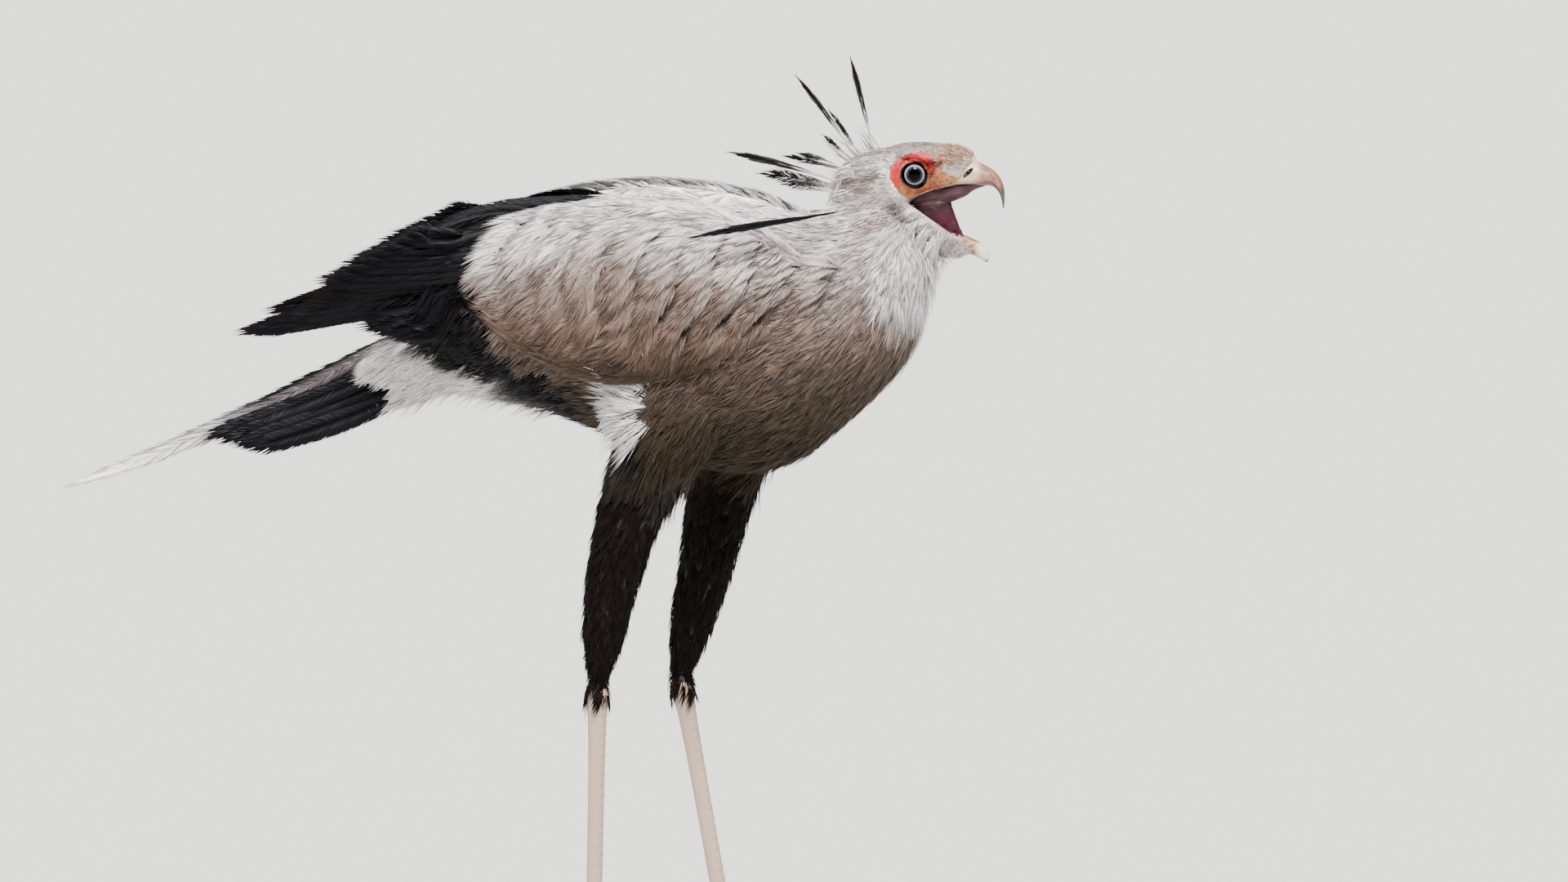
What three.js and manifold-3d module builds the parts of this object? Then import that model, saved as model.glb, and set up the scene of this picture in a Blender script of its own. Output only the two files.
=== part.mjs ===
// A young secretary bird standing with its neck drawn in and its bill wide open.
// Millimetres, +Z up. The bird faces +X, its right side is -Y, and it stands on z = 0.
// Every sub-part is one closed body, and neighbours keep a thin gap where they meet.
import * as THREE from "three";
import { mergeVertices } from "three/addons/utils/BufferGeometryUtils.js";
import Module from "manifold-3d";

const wasm = await Module();
wasm.setup();

// Driving sizes
const GAP = 0.34; // kept between touching sub-parts
const SMOOTHING = 0.14; // how far a face may move when slivers are taken out
const SHAFT = 0.85; // half the thickness of a feather at its shaft
const EYE_RADIUS = 13;
const EYE_AT = [183, 20, 739.5]; // of the left eye; the right one is its mirror image
const TARSUS_RADIUS = 6.6;
const FOOT_HEIGHT = 17; // of the joint where the toes spread
const TOE_SIDES = 6;
const SOLE = Math.cos(Math.PI / TOE_SIDES); // how low a toe's flat underside lies, as a share of its radius
const TOE_SINK = 0.4; // how far a toe's pads reach under the floor before they are cut flat
const LEG_OUT = 56; // of each leg from the middle of the bird
const LEFT_WING_LIFT = 13; // it is carried higher than the right one

// Solids from geometry
function solidOf(geometry) {
  geometry.deleteAttribute("normal");
  geometry.deleteAttribute("uv");
  const merged = mergeVertices(geometry, 1e-3);
  const vertProperties = new Float32Array(merged.attributes.position.array);
  const make = (triVerts) => new wasm.Manifold(new wasm.Mesh({ numProp: 3, vertProperties, triVerts }));
  const triangles = new Uint32Array(merged.index.array);
  const flipped = () => triangles.map((_, i) => triangles[i - (i % 3) + [0, 2, 1][i % 3]]);
  const made = make(triangles);
  return made.volume() < 0 ? make(flipped()) : made;
}

const join = (solids) => wasm.Manifold.union(solids);
const cut = (solid, others) => others.reduce((left, other) => left.subtract(other), solid);
const largest = (solid) => solid.decompose().sort((a, b) => b.volume() - a.volume())[0].simplify(SMOOTHING);
const mirrored = (solid) => solid.mirror([0, 1, 0]);

// Spreads every column of a short table of stations smoothly over a number of steps.
function spread(rows, steps) {
  const column = (k) => new THREE.SplineCurve(rows.map((row, i) => new THREE.Vector2(i, row[k])));
  const columns = rows[0].map((_, k) => column(k));
  return Array.from({ length: steps + 1 }, (_, j) => columns.map((curve) => curve.getPoint(j / steps).y));
}

// A closed tube whose rings are given one by one, as a centre with a side and an up vector for each.
function tubeOf(rings, sides, { relief = () => 0, turn = 0 } = {}) {
  const steps = rings.length - 1;
  const geometry = new THREE.CylinderGeometry(1, 1, 1, sides, steps, false, turn);
  const position = geometry.attributes.position;
  for (let i = 0; i < position.count; i++) {
    const step = Math.round((0.5 - position.getY(i)) * steps);
    const { centre, side, up, down } = rings[step];
    const reach = Math.hypot(position.getX(i), position.getZ(i));
    const angle = Math.atan2(position.getX(i), position.getZ(i));
    const tall = Math.cos(angle) > 0 ? up : down;
    const point = centre
      .clone()
      .addScaledVector(side, reach * Math.sin(angle))
      .addScaledVector(tall, reach * Math.cos(angle) * (1 + relief(step / steps, angle)));
    position.setXYZ(i, point.x, point.y, point.z);
  }
  return solidOf(geometry);
}

// A body on the middle plane. Each row is a slice seen from the side: the x and z of its top and of its
// bottom, its half width, and the share of its height where it is widest.
function profile(rows, { sides = 20, steps = 16, grow = 0 } = {}) {
  const slices = spread(rows, steps).map(([xTop, zTop, xLow, zLow, wide, level]) => {
    const top = new THREE.Vector3(xTop, 0, zTop);
    const low = new THREE.Vector3(xLow, 0, zLow);
    const rise = top.clone().sub(low).normalize();
    top.addScaledVector(rise, grow);
    low.addScaledVector(rise, -grow);
    const centre = low.clone().lerp(top, level);
    const down = centre.clone().sub(low);
    return { centre, side: new THREE.Vector3(0, wide + grow, 0), up: top.sub(centre), down };
  });
  lengthen(slices, grow);
  return tubeOf(slices, sides);
}

// Moves the first and last ring of a tube outwards along its run.
function lengthen(rings, grow) {
  const last = rings.length - 1;
  const start = rings[0].centre.clone().sub(rings[1].centre).setLength(grow || 1e-9);
  const end = rings[last].centre.clone().sub(rings[last - 1].centre).setLength(grow || 1e-9);
  rings[0].centre.add(start);
  rings[last].centre.add(end);
}

// A limb. Each row is the centre of a ring, its half width, and its reach towards the hint and away from it.
const AHEAD = new THREE.Vector3(1, 0, 0);
function limb(rows, { sides = 12, steps = 10, grow = 0, hint = AHEAD, relief, turn } = {}) {
  const spots = spread(rows, steps);
  const centres = spots.map(([x, y, z]) => new THREE.Vector3(x, y, z));
  const rings = spots.map(([, , , wide, front, back], j) => {
    const run = centres[Math.min(j + 1, steps)].clone().sub(centres[Math.max(j - 1, 0)]).normalize();
    const side = run.clone().cross(hint).normalize();
    const ahead = side.clone().cross(run).normalize();
    return {
      centre: centres[j].clone(),
      side: side.multiplyScalar(wide + grow),
      up: ahead.clone().multiplyScalar(front + grow),
      down: ahead.clone().multiplyScalar(back + grow),
    };
  });
  lengthen(rings, grow);
  return tubeOf(rings, sides, { relief, turn });
}

function ellipsoid(at, radii, { turn = 0, grow = 0, wide = 12, high = 8 } = {}) {
  const geometry = new THREE.SphereGeometry(1, wide, high);
  geometry.scale(radii[0] + grow, radii[1] + grow, radii[2] + grow);
  geometry.rotateY(turn);
  geometry.translate(...at);
  return solidOf(geometry);
}

// How a feather's half width runs from root to tip, as pairs of a share of its length and of its half width
const BLADES = {
  flight: [[0, 0.5], [0.45, 1], [0.9, 0.8], [1, 0.22]],
  covert: [[0, 0.5], [0.36, 1], [0.82, 0.9], [1, 0.3]],
  plume: [[0, 0.24], [0.3, 0.22], [0.55, 0.7], [0.84, 1], [1, 0.2]],
  long: [[0, 0.8], [0.3, 1], [0.6, 0.9], [0.85, 0.6], [1, 0.15]],
  lock: [[0, 1], [0.45, 0.8], [0.8, 0.45], [1, 0.06]],
};

// One feather along three or more points. It is thickest along its shaft, and its two faces share one set of
// diagonals, so that a bent one never crosses itself. face is the way its upper side looks.
function vane(points, halfWidth, face, { blade = "covert", grow = 0, shaft = SHAFT, cup = 0.03 } = {}) {
  const curve = new THREE.CatmullRomCurve3(points);
  const outline = BLADES[blade];
  const steps = outline.length - 1;
  const vertices = [];
  outline.forEach(([t, share], j) => {
    const run = curve.getTangentAt(t);
    const across = face.clone().cross(run).normalize();
    const above = run.clone().cross(across).normalize();
    const centre = curve.getPointAt(t);
    if (j === 0) centre.addScaledVector(run, -grow);
    if (j === steps) centre.addScaledVector(run, grow);
    const wide = Math.max(0.6, halfWidth * share) + grow * 8;
    const deep = shaft * (1 - 0.5 * t) + grow * 1.6;
    const sag = above.clone().multiplyScalar(-cup * wide);
    vertices.push(
      centre.clone().addScaledVector(across, wide).add(sag),
      centre.clone().addScaledVector(above, deep),
      centre.clone().addScaledVector(across, -wide).add(sag),
      centre.clone().addScaledVector(above, -deep),
    );
  });
  const index = [];
  for (let j = 0; j < steps; j++) {
    const [leftA, topA, rightA, lowA] = [0, 1, 2, 3].map((k) => 4 * j + k);
    const [leftB, topB, rightB, lowB] = [0, 1, 2, 3].map((k) => 4 * j + 4 + k);
    index.push(leftA, topA, topB, leftA, topB, leftB, topA, rightA, topB, rightA, rightB, topB);
    index.push(leftA, lowB, lowA, leftA, leftB, lowB, lowA, lowB, rightA, rightA, lowB, rightB);
  }
  const end = 4 * steps;
  index.push(0, 2, 1, 0, 3, 2, end, end + 1, end + 2, end, end + 2, end + 3);
  const geometry = new THREE.BufferGeometry().setFromPoints(vertices);
  geometry.setIndex(index);
  return solidOf(geometry);
}

const mix = (a, b, t) => a + (b - a) * t;
const spot = (x, y, z) => new THREE.Vector3(x, y, z);
// A seeded draw from -1 to 1, so that the feathers vary alike at every build.
const vary = (n) => 2 * ((Math.sin(n * 127.1 + 11.7) * 43758.5453) % 1 + 1) % 2 - 1;

// Torso
const TORSO = [
  [-262, 606, -262, 562, 18, 0.5],
  [-240, 634, -240, 548, 36, 0.5],
  [-200, 672, -200, 540, 60, 0.52],
  [-150, 706, -150, 532, 82, 0.55],
  [-100, 722, -100, 514, 96, 0.55],
  [-50, 719, -50, 494, 104, 0.55],
  [0, 714, 0, 481, 108, 0.52],
  [50, 711, 48, 479, 106, 0.48],
  [88, 707, 84, 492, 99, 0.45],
  [118, 697, 108, 512, 90, 0.45],
  [142, 682, 130, 531, 78, 0.45],
  [162, 664, 150, 551, 62, 0.45],
  [178, 642, 168, 573, 42, 0.45],
  [186, 620, 182, 599, 14, 0.5],
];
const torsoForm = (grow = 0) => profile(TORSO, { sides: 20, steps: 12, grow });

// Neck, from the head down to the breast
const NECK = [
  [130, 741, 170, 701, 22, 0.5],
  [119, 732, 188, 681, 32, 0.5],
  [107, 719, 199, 657, 45, 0.5],
  [92, 708, 192, 630, 61, 0.5],
  [70, 700, 182, 606, 76, 0.5],
  [40, 690, 158, 590, 84, 0.5],
];
const neckForm = (grow = 0) => profile(NECK, { sides: 16, steps: 6, grow });

// The shag of the throat hangs in tapered locks, in rows from ear to ear
const LOCK_HALF_WIDTH = 10;
const LOCK_THICKNESS = 1.6; // half of it, along the middle of the lock
const LOCK_SPACING = 0.46; // the turn between neighbours in a row, in radians
const LOCKS_EACH_SIDE = 2;
const LOCK_ROWS = [
  { high: 678, ahead: 193, radius: 30, long: 33, out: 13 },
  { high: 656, ahead: 194, radius: 46, long: 30, out: 7 },
];

function throatLocks() {
  return LOCK_ROWS.flatMap(({ high, ahead, radius, long, out }, row) => {
    const locks = [];
    for (let i = -LOCKS_EACH_SIDE; i <= LOCKS_EACH_SIDE; i += 1) {
      const turn = (i + 0.25 * (row ? 1 : -1)) * LOCK_SPACING;
      const way = spot(Math.cos(turn), Math.sin(turn), 0);
      const root = spot(ahead - radius, 0, high + 3 * Math.abs(i)).addScaledVector(way, radius - 5);
      const drop = long * (1 + 0.15 * vary(i + 9 * row));
      const tip = root.clone().addScaledVector(way, out + 5 + 2 * vary(i + 20)).add(spot(0, 0, -drop));
      const middle = root.clone().lerp(tip, 0.5).addScaledVector(way, 3);
      const face = way.clone().add(spot(0, 0, 0.4));
      locks.push(vane([root, middle, tip], LOCK_HALF_WIDTH, face, { blade: "lock", shaft: LOCK_THICKNESS }));
    }
    return locks;
  });
}

// Head
const HEAD = [
  [110, 737, 108, 718, 8, 0.5],
  [119, 748.5, 116, 706, 20, 0.5],
  [132, 755.5, 130, 700, 27, 0.55],
  [149, 760.3, 150, 698, 30.5, 0.55],
  [167, 765.3, 167, 705, 31, 0.5],
  [180, 766.6, 179, 717, 28.5, 0.44],
  [195, 766.4, 194, 723.6, 24.5, 0.36],
  [209, 765, 209, 727.2, 19.5, 0.32],
  [220, 763, 218.5, 729.2, 15, 0.3],
  [229, 758.6, 224, 731.5, 10.5, 0.3],
  [233.4, 752.4, 227, 736, 5, 0.4],
];
const headForm = (grow = 0) => profile(HEAD, { sides: 16, steps: 11, grow });

const [EYE_X, EYE_OUT, EYE_Z] = EYE_AT;
const eyeForm = (side, grow = 0) =>
  ellipsoid([EYE_X, side * EYE_OUT, EYE_Z], [EYE_RADIUS, EYE_RADIUS, EYE_RADIUS], { grow, wide: 14, high: 8 });

function lidRing(side) {
  const ring = new THREE.TorusGeometry(10.8, 2.2, 3, 12);
  ring.rotateX(Math.PI / 2);
  ring.rotateX(side * 0.1);
  ring.rotateZ(side * -0.22);
  ring.translate(EYE_X, side * (EYE_OUT + 8.2), EYE_Z);
  return solidOf(ring);
}

const BROW_AT = [187, 21.5, 754.3];
const BROW_RADII = [20, 6.5, 4.5];
const browRidge = (side) =>
  ellipsoid([BROW_AT[0], side * BROW_AT[1], BROW_AT[2]], BROW_RADII, { turn: 0.1, wide: 8, high: 5 });

// The crest stands off the nape, feather by feather: root, tip and half width, seen from the side and from behind
const CREST = [
  [144, 0, 753, 122, 0, 840, 3.6],
  [131, -5, 750, 76, -8, 823, 3.2],
  [127, -9, 746, 100, -15, 773, 3],
  [125, -12, 740, 80, -22, 757, 4],
  [121, -14, 731, 21, -36, 758, 4.6],
  [119, 12, 724, 34, 26, 737, 8.5],
  [123, 13, 738, 56, 28, 752, 4.4],
  [132, 7, 749, 99, 17, 793, 3.2],
  [115, -11, 717, 66, -24, 724, 6.5],
  [117, 15, 717, 70, 34, 722, 6.5],
];
function crestVanes() {
  return CREST.map(([x, y, z, tipX, tipY, tipZ, halfWidth], i) => {
    const root = spot(x, y, z);
    const tip = spot(tipX, tipY, tipZ);
    const inward = tip.clone().sub(root).setLength(-7);
    const bow = spot(0, 0, 2 + 1.5 * vary(i));
    const middle = root.clone().lerp(tip, 0.55).add(bow);
    const face = spot(0, y === 0 ? -1 : Math.sign(y), 0.25);
    return vane([root.clone().add(inward), middle, tip], halfWidth, face, { blade: "plume" });
  });
}

// The lowest plume hangs from the side of the neck and lies over the shoulder
const SHOULDER_PLUME = [[126, 33, 703], [98, 66, 702], [52, 108, 696], [3, 127, 687]];
function shoulderPlume(side) {
  const points = SHOULDER_PLUME.map(([x, out, z]) => spot(x, side * out, z));
  return vane(points, 5, spot(0, side, 0.7), { blade: "plume" });
}

// Bill
const UPPER_BILL = [
  [224, 752, 212, 728.3, 10.5, 0.28],
  [230, 751.3, 220, 729.2, 12.4, 0.28],
  [236, 749.2, 228.5, 729.9, 11.8, 0.28],
  [242.5, 746, 235.5, 729.4, 10.2, 0.3],
  [249, 741.6, 242, 729.3, 8.2, 0.4],
  [254, 735, 247.4, 728.6, 6, 0.5],
  [256.6, 727.8, 251.8, 724.4, 4.5, 0.5],
  [257.3, 720.3, 254.2, 719.2, 2.9, 0.5],
  [256.9, 710.4, 255.9, 709.8, 0.8, 0.5],
];
const upperBillForm = (grow = 0) => profile(UPPER_BILL, { sides: 12, steps: 10, grow });

const LOWER_BILL = [
  [203, 695, 207, 680, 10.5, 0.7],
  [212, 691.6, 215, 676.5, 11.6, 0.7],
  [221, 687.8, 223, 673, 10.8, 0.7],
  [230, 683.9, 229.5, 670, 9, 0.65],
  [237, 679.9, 234.2, 667.5, 6.8, 0.6],
  [242.6, 673, 238.6, 665, 4.3, 0.6],
  [244.4, 666.8, 241.6, 663.6, 1.6, 0.5],
];
const lowerBillForm = (grow = 0) => profile(LOWER_BILL, { sides: 12, steps: 8, grow });

// The lower jaw behind the horn, with the feathered chin under it
const JAW = [
  [166, 724, 168, 695, 20, 0.6],
  [177, 716, 182, 685, 21, 0.7],
  [188, 708.2, 194, 675, 19.5, 0.75],
  [199.5, 700.4, 205, 668.8, 17, 0.8],
  [210, 693.9, 214, 668, 13.8, 0.8],
  [219, 688.6, 221, 670, 10.6, 0.8],
  [226, 683.6, 228, 672.6, 7, 0.7],
];
const jawForm = (grow = 0) => profile(JAW, { sides: 12, steps: 7, grow });

// The trough between the two sides of the jaw
const TROUGH = [
  [168, 732, 174, 711, 13.5, 0.5],
  [188, 716, 191, 696, 13, 0.5],
  [210, 702, 211, 686, 9.5, 0.5],
  [228, 692, 227, 679, 5.8, 0.5],
  [237, 687, 234.5, 676, 2.8, 0.5],
];
const troughForm = (grow = 0) => profile(TROUGH, { sides: 10, steps: 5, grow });

// The hollow of the palate, between the cutting edges of the upper bill
const PALATE = [
  [207, 731.5, 206, 719.5, 7, 0.5],
  [222, 734.5, 222, 721.5, 8, 0.5],
  [237, 733.6, 236, 723.5, 5.4, 0.5],
  [246, 731.6, 244.5, 722.5, 2.4, 0.5],
];
const palateForm = () => profile(PALATE, { sides: 8, steps: 4 });

const TONGUE = [
  [172, 721, 178, 703, 8, 0.5],
  [183, 722, 189, 693, 12, 0.5],
  [194.5, 724, 199.5, 687, 12, 0.5],
  [203.5, 724, 208.5, 683, 9.5, 0.5],
  [209, 719, 215, 681.5, 6.4, 0.5],
  [212, 708, 224, 680, 2.8, 0.5],
];
const tongueForm = (grow = 0) => profile(TONGUE, { sides: 8, steps: 6, grow });

const nostril = (side) =>
  ellipsoid([228.4, side * 13, 741.6], [6, 4, 2.2], { turn: -0.8, wide: 10, high: 6 });

// Wing: the arm under its coverts, as rings of x, y and z of the centre, half thickness, and reach up and down.
// It leans over the back along its upper edge.
const WING = [
  [92, -80, 642, 6, 24, 28],
  [62, -86, 643, 18, 46, 52],
  [30, -91, 645, 22, 58, 68],
  [-20, -96, 648, 26, 64, 80],
  [-70, -97, 650, 27, 64, 84],
  [-120, -92, 653, 23, 56, 74],
  [-160, -84, 657, 16, 42, 54],
  [-196, -77, 661, 8, 26, 30],
  [-222, -74, 660, 3, 9, 10],
];
const WING_END = WING[WING.length - 1];
const WING_LEAN = 0.42; // how far the upper edge leans inwards, as a share of its height

// The wing's row at any x, straight between stations, and running on behind the arm towards the tail.
function wingRow(x) {
  if (x >= WING[0][0]) return WING[0];
  if (x <= WING_END[0]) {
    const past = WING_END[0] - x;
    return [x, WING_END[1] + 0.1 * past, WING_END[2] - 0.22 * past, WING_END[3], 60, 60];
  }
  const i = WING.findIndex((row) => row[0] <= x);
  const t = (WING[i - 1][0] - x) / (WING[i - 1][0] - WING[i][0]);
  return WING[i].map((value, k) => mix(WING[i - 1][k], value, t));
}

// A point on the outer side of the right wing, raised off it, with the way that side looks.
function onWing(x, z, lift) {
  const [, y, middle, thick, up, down] = wingRow(x);
  const height = THREE.MathUtils.clamp((z - middle) / (z > middle ? up : down), -0.94, 0.94);
  const across = Math.sqrt(1 - height * height);
  const inwards = x > WING_END[0] && height > 0 ? WING_LEAN * up * height : 0;
  const face = spot(0, -across - 0.25, height * 0.6).normalize();
  return { point: spot(x, y - thick * across + inwards, z).addScaledVector(face, lift), face };
}

// Tiers of feathers from first to last: the x and z of the roots and the tips, and how far they stand off the arm
const ROOT_DEPTH = -12;
const tier = (count, roots, tips, wide, lift, blade) => ({ count, roots, tips, wide, lift, blade });
const TIERS = [
  tier(4, [-128, 664, -132, 638], [-326, 640, -356, 614], 11, [-5, -2], "flight"),
  tier(5, [-112, 634, -64, 584], [-300, 606, -176, 574], 13, [-1, 2], "flight"),
  tier(4, [-104, 692, -116, 666], [-252, 688, -334, 645], 12, [2, 7], "flight"),
  tier(6, [-112, 698, -62, 590], [-194, 682, -170, 586], 14, [2, 7], "covert"),
  tier(2, [-56, 584, -34, 576], [-154, 572, -100, 548], 12, [2, 7], "covert"),
  tier(7, [-62, 700, -6, 584], [-148, 694, -78, 558], 13, [2, 8], "covert"),
  tier(6, [-10, 698, 36, 594], [-96, 698, -18, 568], 14, [2, 9], "covert"),
  tier(2, [10, 702, -62, 706], [-86, 708, -178, 694], 16, [3, 9], "covert"),
];

// The longest flight feather makes the point of the wing
const WING_POINT = { root: [-134, 650], tip: [-409, 599], wide: 11, lift: [-4, -2], blade: "flight" };
const SHINGLE = 0.2; // how far each feather's lower edge stands out over the next one

function wingVane([rootX, rootZ], [tipX, tipZ], { wide, lift, blade }, n) {
  const at = (t, off) => onWing(mix(rootX, tipX, t), mix(rootZ, tipZ, t), off);
  const spots = [at(0, ROOT_DEPTH), at(0.3, lift[0]), at(0.65, mix(lift[0], lift[1], 0.5)), at(1, lift[1])];
  const face = spots[2].face.clone().add(spot(0, 0, SHINGLE + 0.02 * vary(n)));
  return (grow) => vane(spots.map(({ point }) => point), wide, face, { blade, grow });
}

function wingVanes() {
  const makers = [wingVane(WING_POINT.root, WING_POINT.tip, WING_POINT, 5)];
  TIERS.forEach((row, t) => {
    const [rootX0, rootZ0, rootX1, rootZ1] = row.roots;
    const [tipX0, tipZ0, tipX1, tipZ1] = row.tips;
    for (let i = 0; i < row.count; i++) {
      const s = i / (row.count - 1);
      const n = 31 * t + i;
      const bulge = row.blade === "covert" ? -10 * Math.sin(Math.PI * s) : 0;
      const root = [mix(rootX0, rootX1, s), mix(rootZ0, rootZ1, s)];
      const tip = [mix(tipX0, tipX1, s) + bulge + 3 * vary(n), mix(tipZ0, tipZ1, s) + 1.5 * vary(n + 7)];
      makers.push(wingVane(root, tip, row, n));
    }
  });
  return makers;
}

function wingCore(grow) {
  const rings = spread(WING, 7).map(([x, y, z, thick, up, down]) => ({
    centre: spot(x, y, z),
    side: spot(0, thick + grow, 0),
    up: spot(0, WING_LEAN * (up + grow), up + grow),
    down: spot(0, 0, down + grow),
  }));
  lengthen(rings, grow);
  return tubeOf(rings, 12);
}

const wingMakers = wingVanes();
const wingForm = (grow = 0) => join([wingCore(grow), ...wingMakers.map((make) => make(grow))]);

// Tail: the coverts make a cone that the tail feathers leave
const TAIL_CONE = [
  [-205, 655, -200, 560, 28, 0.5],
  [-240, 624, -235, 540, 35, 0.5],
  [-270, 604, -262, 531, 33, 0.5],
  [-300, 589, -292, 527, 27, 0.5],
  [-325, 576, -318, 529, 19, 0.5],
  [-342, 566, -338, 540, 9, 0.5],
];
const TAIL_PAIRS = 5;

function tailVanes() {
  const made = [];
  for (let pair = 0; pair < TAIL_PAIRS; pair++) {
    for (const side of [-1, 1]) {
      const s = pair / (TAIL_PAIRS - 1);
      const n = 2 * pair + side;
      const central = pair === 0;
      const root = spot(-285 + 2 * vary(n + 40), side * mix(3, 17, s), mix(578, 548, s) + 0.8 * side);
      const outerTipHigh = mix(503, 506, s) - 8 * Math.sin(Math.PI * s);
      const tip = central
        ? spot(side < 0 ? -567 : -545, side * 6, side < 0 ? 462 : 474)
        : spot(mix(-452, -398, s) + 4 * vary(n), side * mix(9, 33, s), outerTipHigh);
      const middle = root.clone().lerp(tip, 0.5).add(spot(0, 0, central ? -5 : -3));
      const face = spot(0, side * mix(0.9, 1.3, s), mix(1, 0.35, s)).normalize();
      const options = { blade: central ? "long" : "flight", shaft: central ? 1.2 : SHAFT };
      made.push(vane([root, middle, tip], central ? 12 : 14, face, options));
    }
  }
  return made;
}

function tailCoverts() {
  const made = [];
  const around = 6;
  for (const [row, from, to, reach] of [[0, -262, -322, 1], [1, -296, -356, 0.92]]) {
    for (let i = 0; i < around; i++) {
      const turn = ((i + row / 2) / around) * 2 * Math.PI;
      const low = Math.cos(turn) < 0;
      const wide = mix(33, 25, row) * Math.sin(turn);
      const [top, bottom] = row ? [590, 527] : [606, 531];
      const high = mix(bottom, top, 0.5 + 0.5 * Math.cos(turn));
      const face = spot(0.1, Math.sin(turn), Math.cos(turn)).normalize();
      const root = spot(from + vary(i + 50), wide + 0.6, high).addScaledVector(face, -4);
      const tipHigh = high - (low ? 6 : 26) * reach - 3 * Math.abs(vary(i));
      const tip = spot(to + 6 * vary(i + 3 * row), wide * 0.78, tipHigh).addScaledVector(face, 4);
      const middle = root.clone().lerp(tip, 0.5).addScaledVector(face, 4);
      made.push(vane([root, middle, tip], 9, face, { blade: "covert" }));
    }
  }
  return made;
}
const tailCone = () => profile(TAIL_CONE, { sides: 10, steps: 4 });
const tailForm = () => join([tailCone(), ...tailVanes(), ...tailCoverts()]);

// Legs: where each one leaves the thigh, passes its middle, reaches the ankle and meets the foot
const LEGS = [
  { name: "right", side: -1, hip: -30, shin: -66, ankle: -86, foot: -92 },
  { name: "left", side: 1, hip: 8, shin: -10, ankle: -38, foot: 14 },
];
const HIP_HEIGHT = 520;
const SHIN_HEIGHT = 420;
const ANKLE_HEIGHT = 300;

// The thigh under its plumage: how far it lies behind the hip, how far out, how high, and its half sizes
const THIGH = [
  [18, 78, 604, 16, 34, 34],
  [12, 76, 585, 28, 52, 50],
  [6, 72, 545, 36, 58, 52],
  [0, 66, 510, 34, 50, 46],
  [-2, 60, 484, 24, 36, 32],
  [-2, 58, 470, 12, 22, 18],
];
const TUFT_LOCKS = 4;

function thighForm({ side, hip }, grow = 0) {
  const rows = THIGH.map(([ahead, out, ...rest]) => [hip + ahead, side * out, ...rest]);
  return limb(rows, { sides: 12, steps: 7, grow });
}

// The pale tuft at the back of the thigh
function thighTuft({ side, hip }, grow = 0) {
  return Array.from({ length: TUFT_LOCKS }, (_, i) => {
    const s = i / (TUFT_LOCKS - 1);
    const root = spot(hip + mix(-6, -44, s), side * mix(102, 88, s), mix(556, 548, s));
    const tip = root.clone().add(spot(-8 - 8 * s, side * 3, -52 + 8 * vary(i)));
    const middle = root.clone().lerp(tip, 0.5).add(spot(0, side * 4, 0));
    return vane([root, middle, tip], 13, spot(-0.6 * s, side, 0.2), { blade: "lock", shaft: 1.6, grow });
  });
}

// The feathered shank, as shares of the way down with half width and reach to the front and the back
const SHANK = [
  [0, 36, 42, 40],
  [0.18, 34, 37, 37],
  [0.38, 30, 32, 33],
  [0.6, 26, 27, 29],
  [0.78, 21, 21, 25],
  [0.92, 14, 14, 17],
  [1, 9.5, 9.5, 12],
];

function shankForm({ side, hip, shin, ankle }, grow = 0) {
  const path = new THREE.CatmullRomCurve3([
    spot(hip, side * LEG_OUT, HIP_HEIGHT),
    spot(shin, side * LEG_OUT, SHIN_HEIGHT),
    spot(ankle, side * LEG_OUT, ANKLE_HEIGHT),
  ]);
  const rows = SHANK.map(([share, wide, front, back]) => [...path.getPoint(share).toArray(), wide, front, back]);
  return limb(rows, { sides: 10, steps: 8, grow });
}

// The bare tarsus carries a row of broad plates down its front, each standing a little over the next
const TARSUS_SCUTES = 11;
const SCUTE_RISE = 0.16; // of the tarsus's radius
const onPlates = (t, angle) => Math.abs(angle) < 1.2 && t > 0.04;
const scutes = (t, angle) => (onPlates(t, angle) ? SCUTE_RISE * (1 - ((t * TARSUS_SCUTES) % 1)) : 0);

function tarsusForm({ side, ankle, foot }, grow = 0) {
  const y = side * LEG_OUT;
  const r = TARSUS_RADIUS;
  const at = (share, wide, front, back) => [
    mix(ankle, foot, share), y, mix(ANKLE_HEIGHT + 4, FOOT_HEIGHT, share), wide, front, back,
  ];
  const rows = [
    at(0, 0.9 * r, 0.9 * r, 1.1 * r),
    at(0.05, 1.35 * r, 1.3 * r, 1.6 * r),
    at(0.12, 1.1 * r, 1.1 * r, 1.3 * r),
    at(0.3, 0.92 * r, 1 * r, 1.1 * r),
    at(0.6, 0.88 * r, 1 * r, 1.05 * r),
    at(0.88, 1 * r, 1.1 * r, 1.15 * r),
    at(1, 1.25 * r, 1.3 * r, 1.3 * r),
  ];
  return limb(rows, { sides: 8, steps: 2 * TARSUS_SCUTES, grow, relief: scutes });
}

// Toes: the way each points, its length, and how thick it is at the root
const TOES = [
  { turn: 0.02, long: 60, thick: 8.2 },
  { turn: 0.55, long: 45, thick: 7.6 },
  { turn: -0.52, long: 47, thick: 7.6 },
  { turn: Math.PI - 0.25, long: 27, thick: 6.8 },
];
const CLAW_LENGTH = 19;
const CLAW_ROOT = 3; // how far it starts inside the toe
const TOE_STEPS = 6;
const knuckles = (t, angle) => (Math.abs(angle) < 1.6 ? 0.1 * Math.cos(t * TOE_STEPS * Math.PI) : 0);

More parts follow.
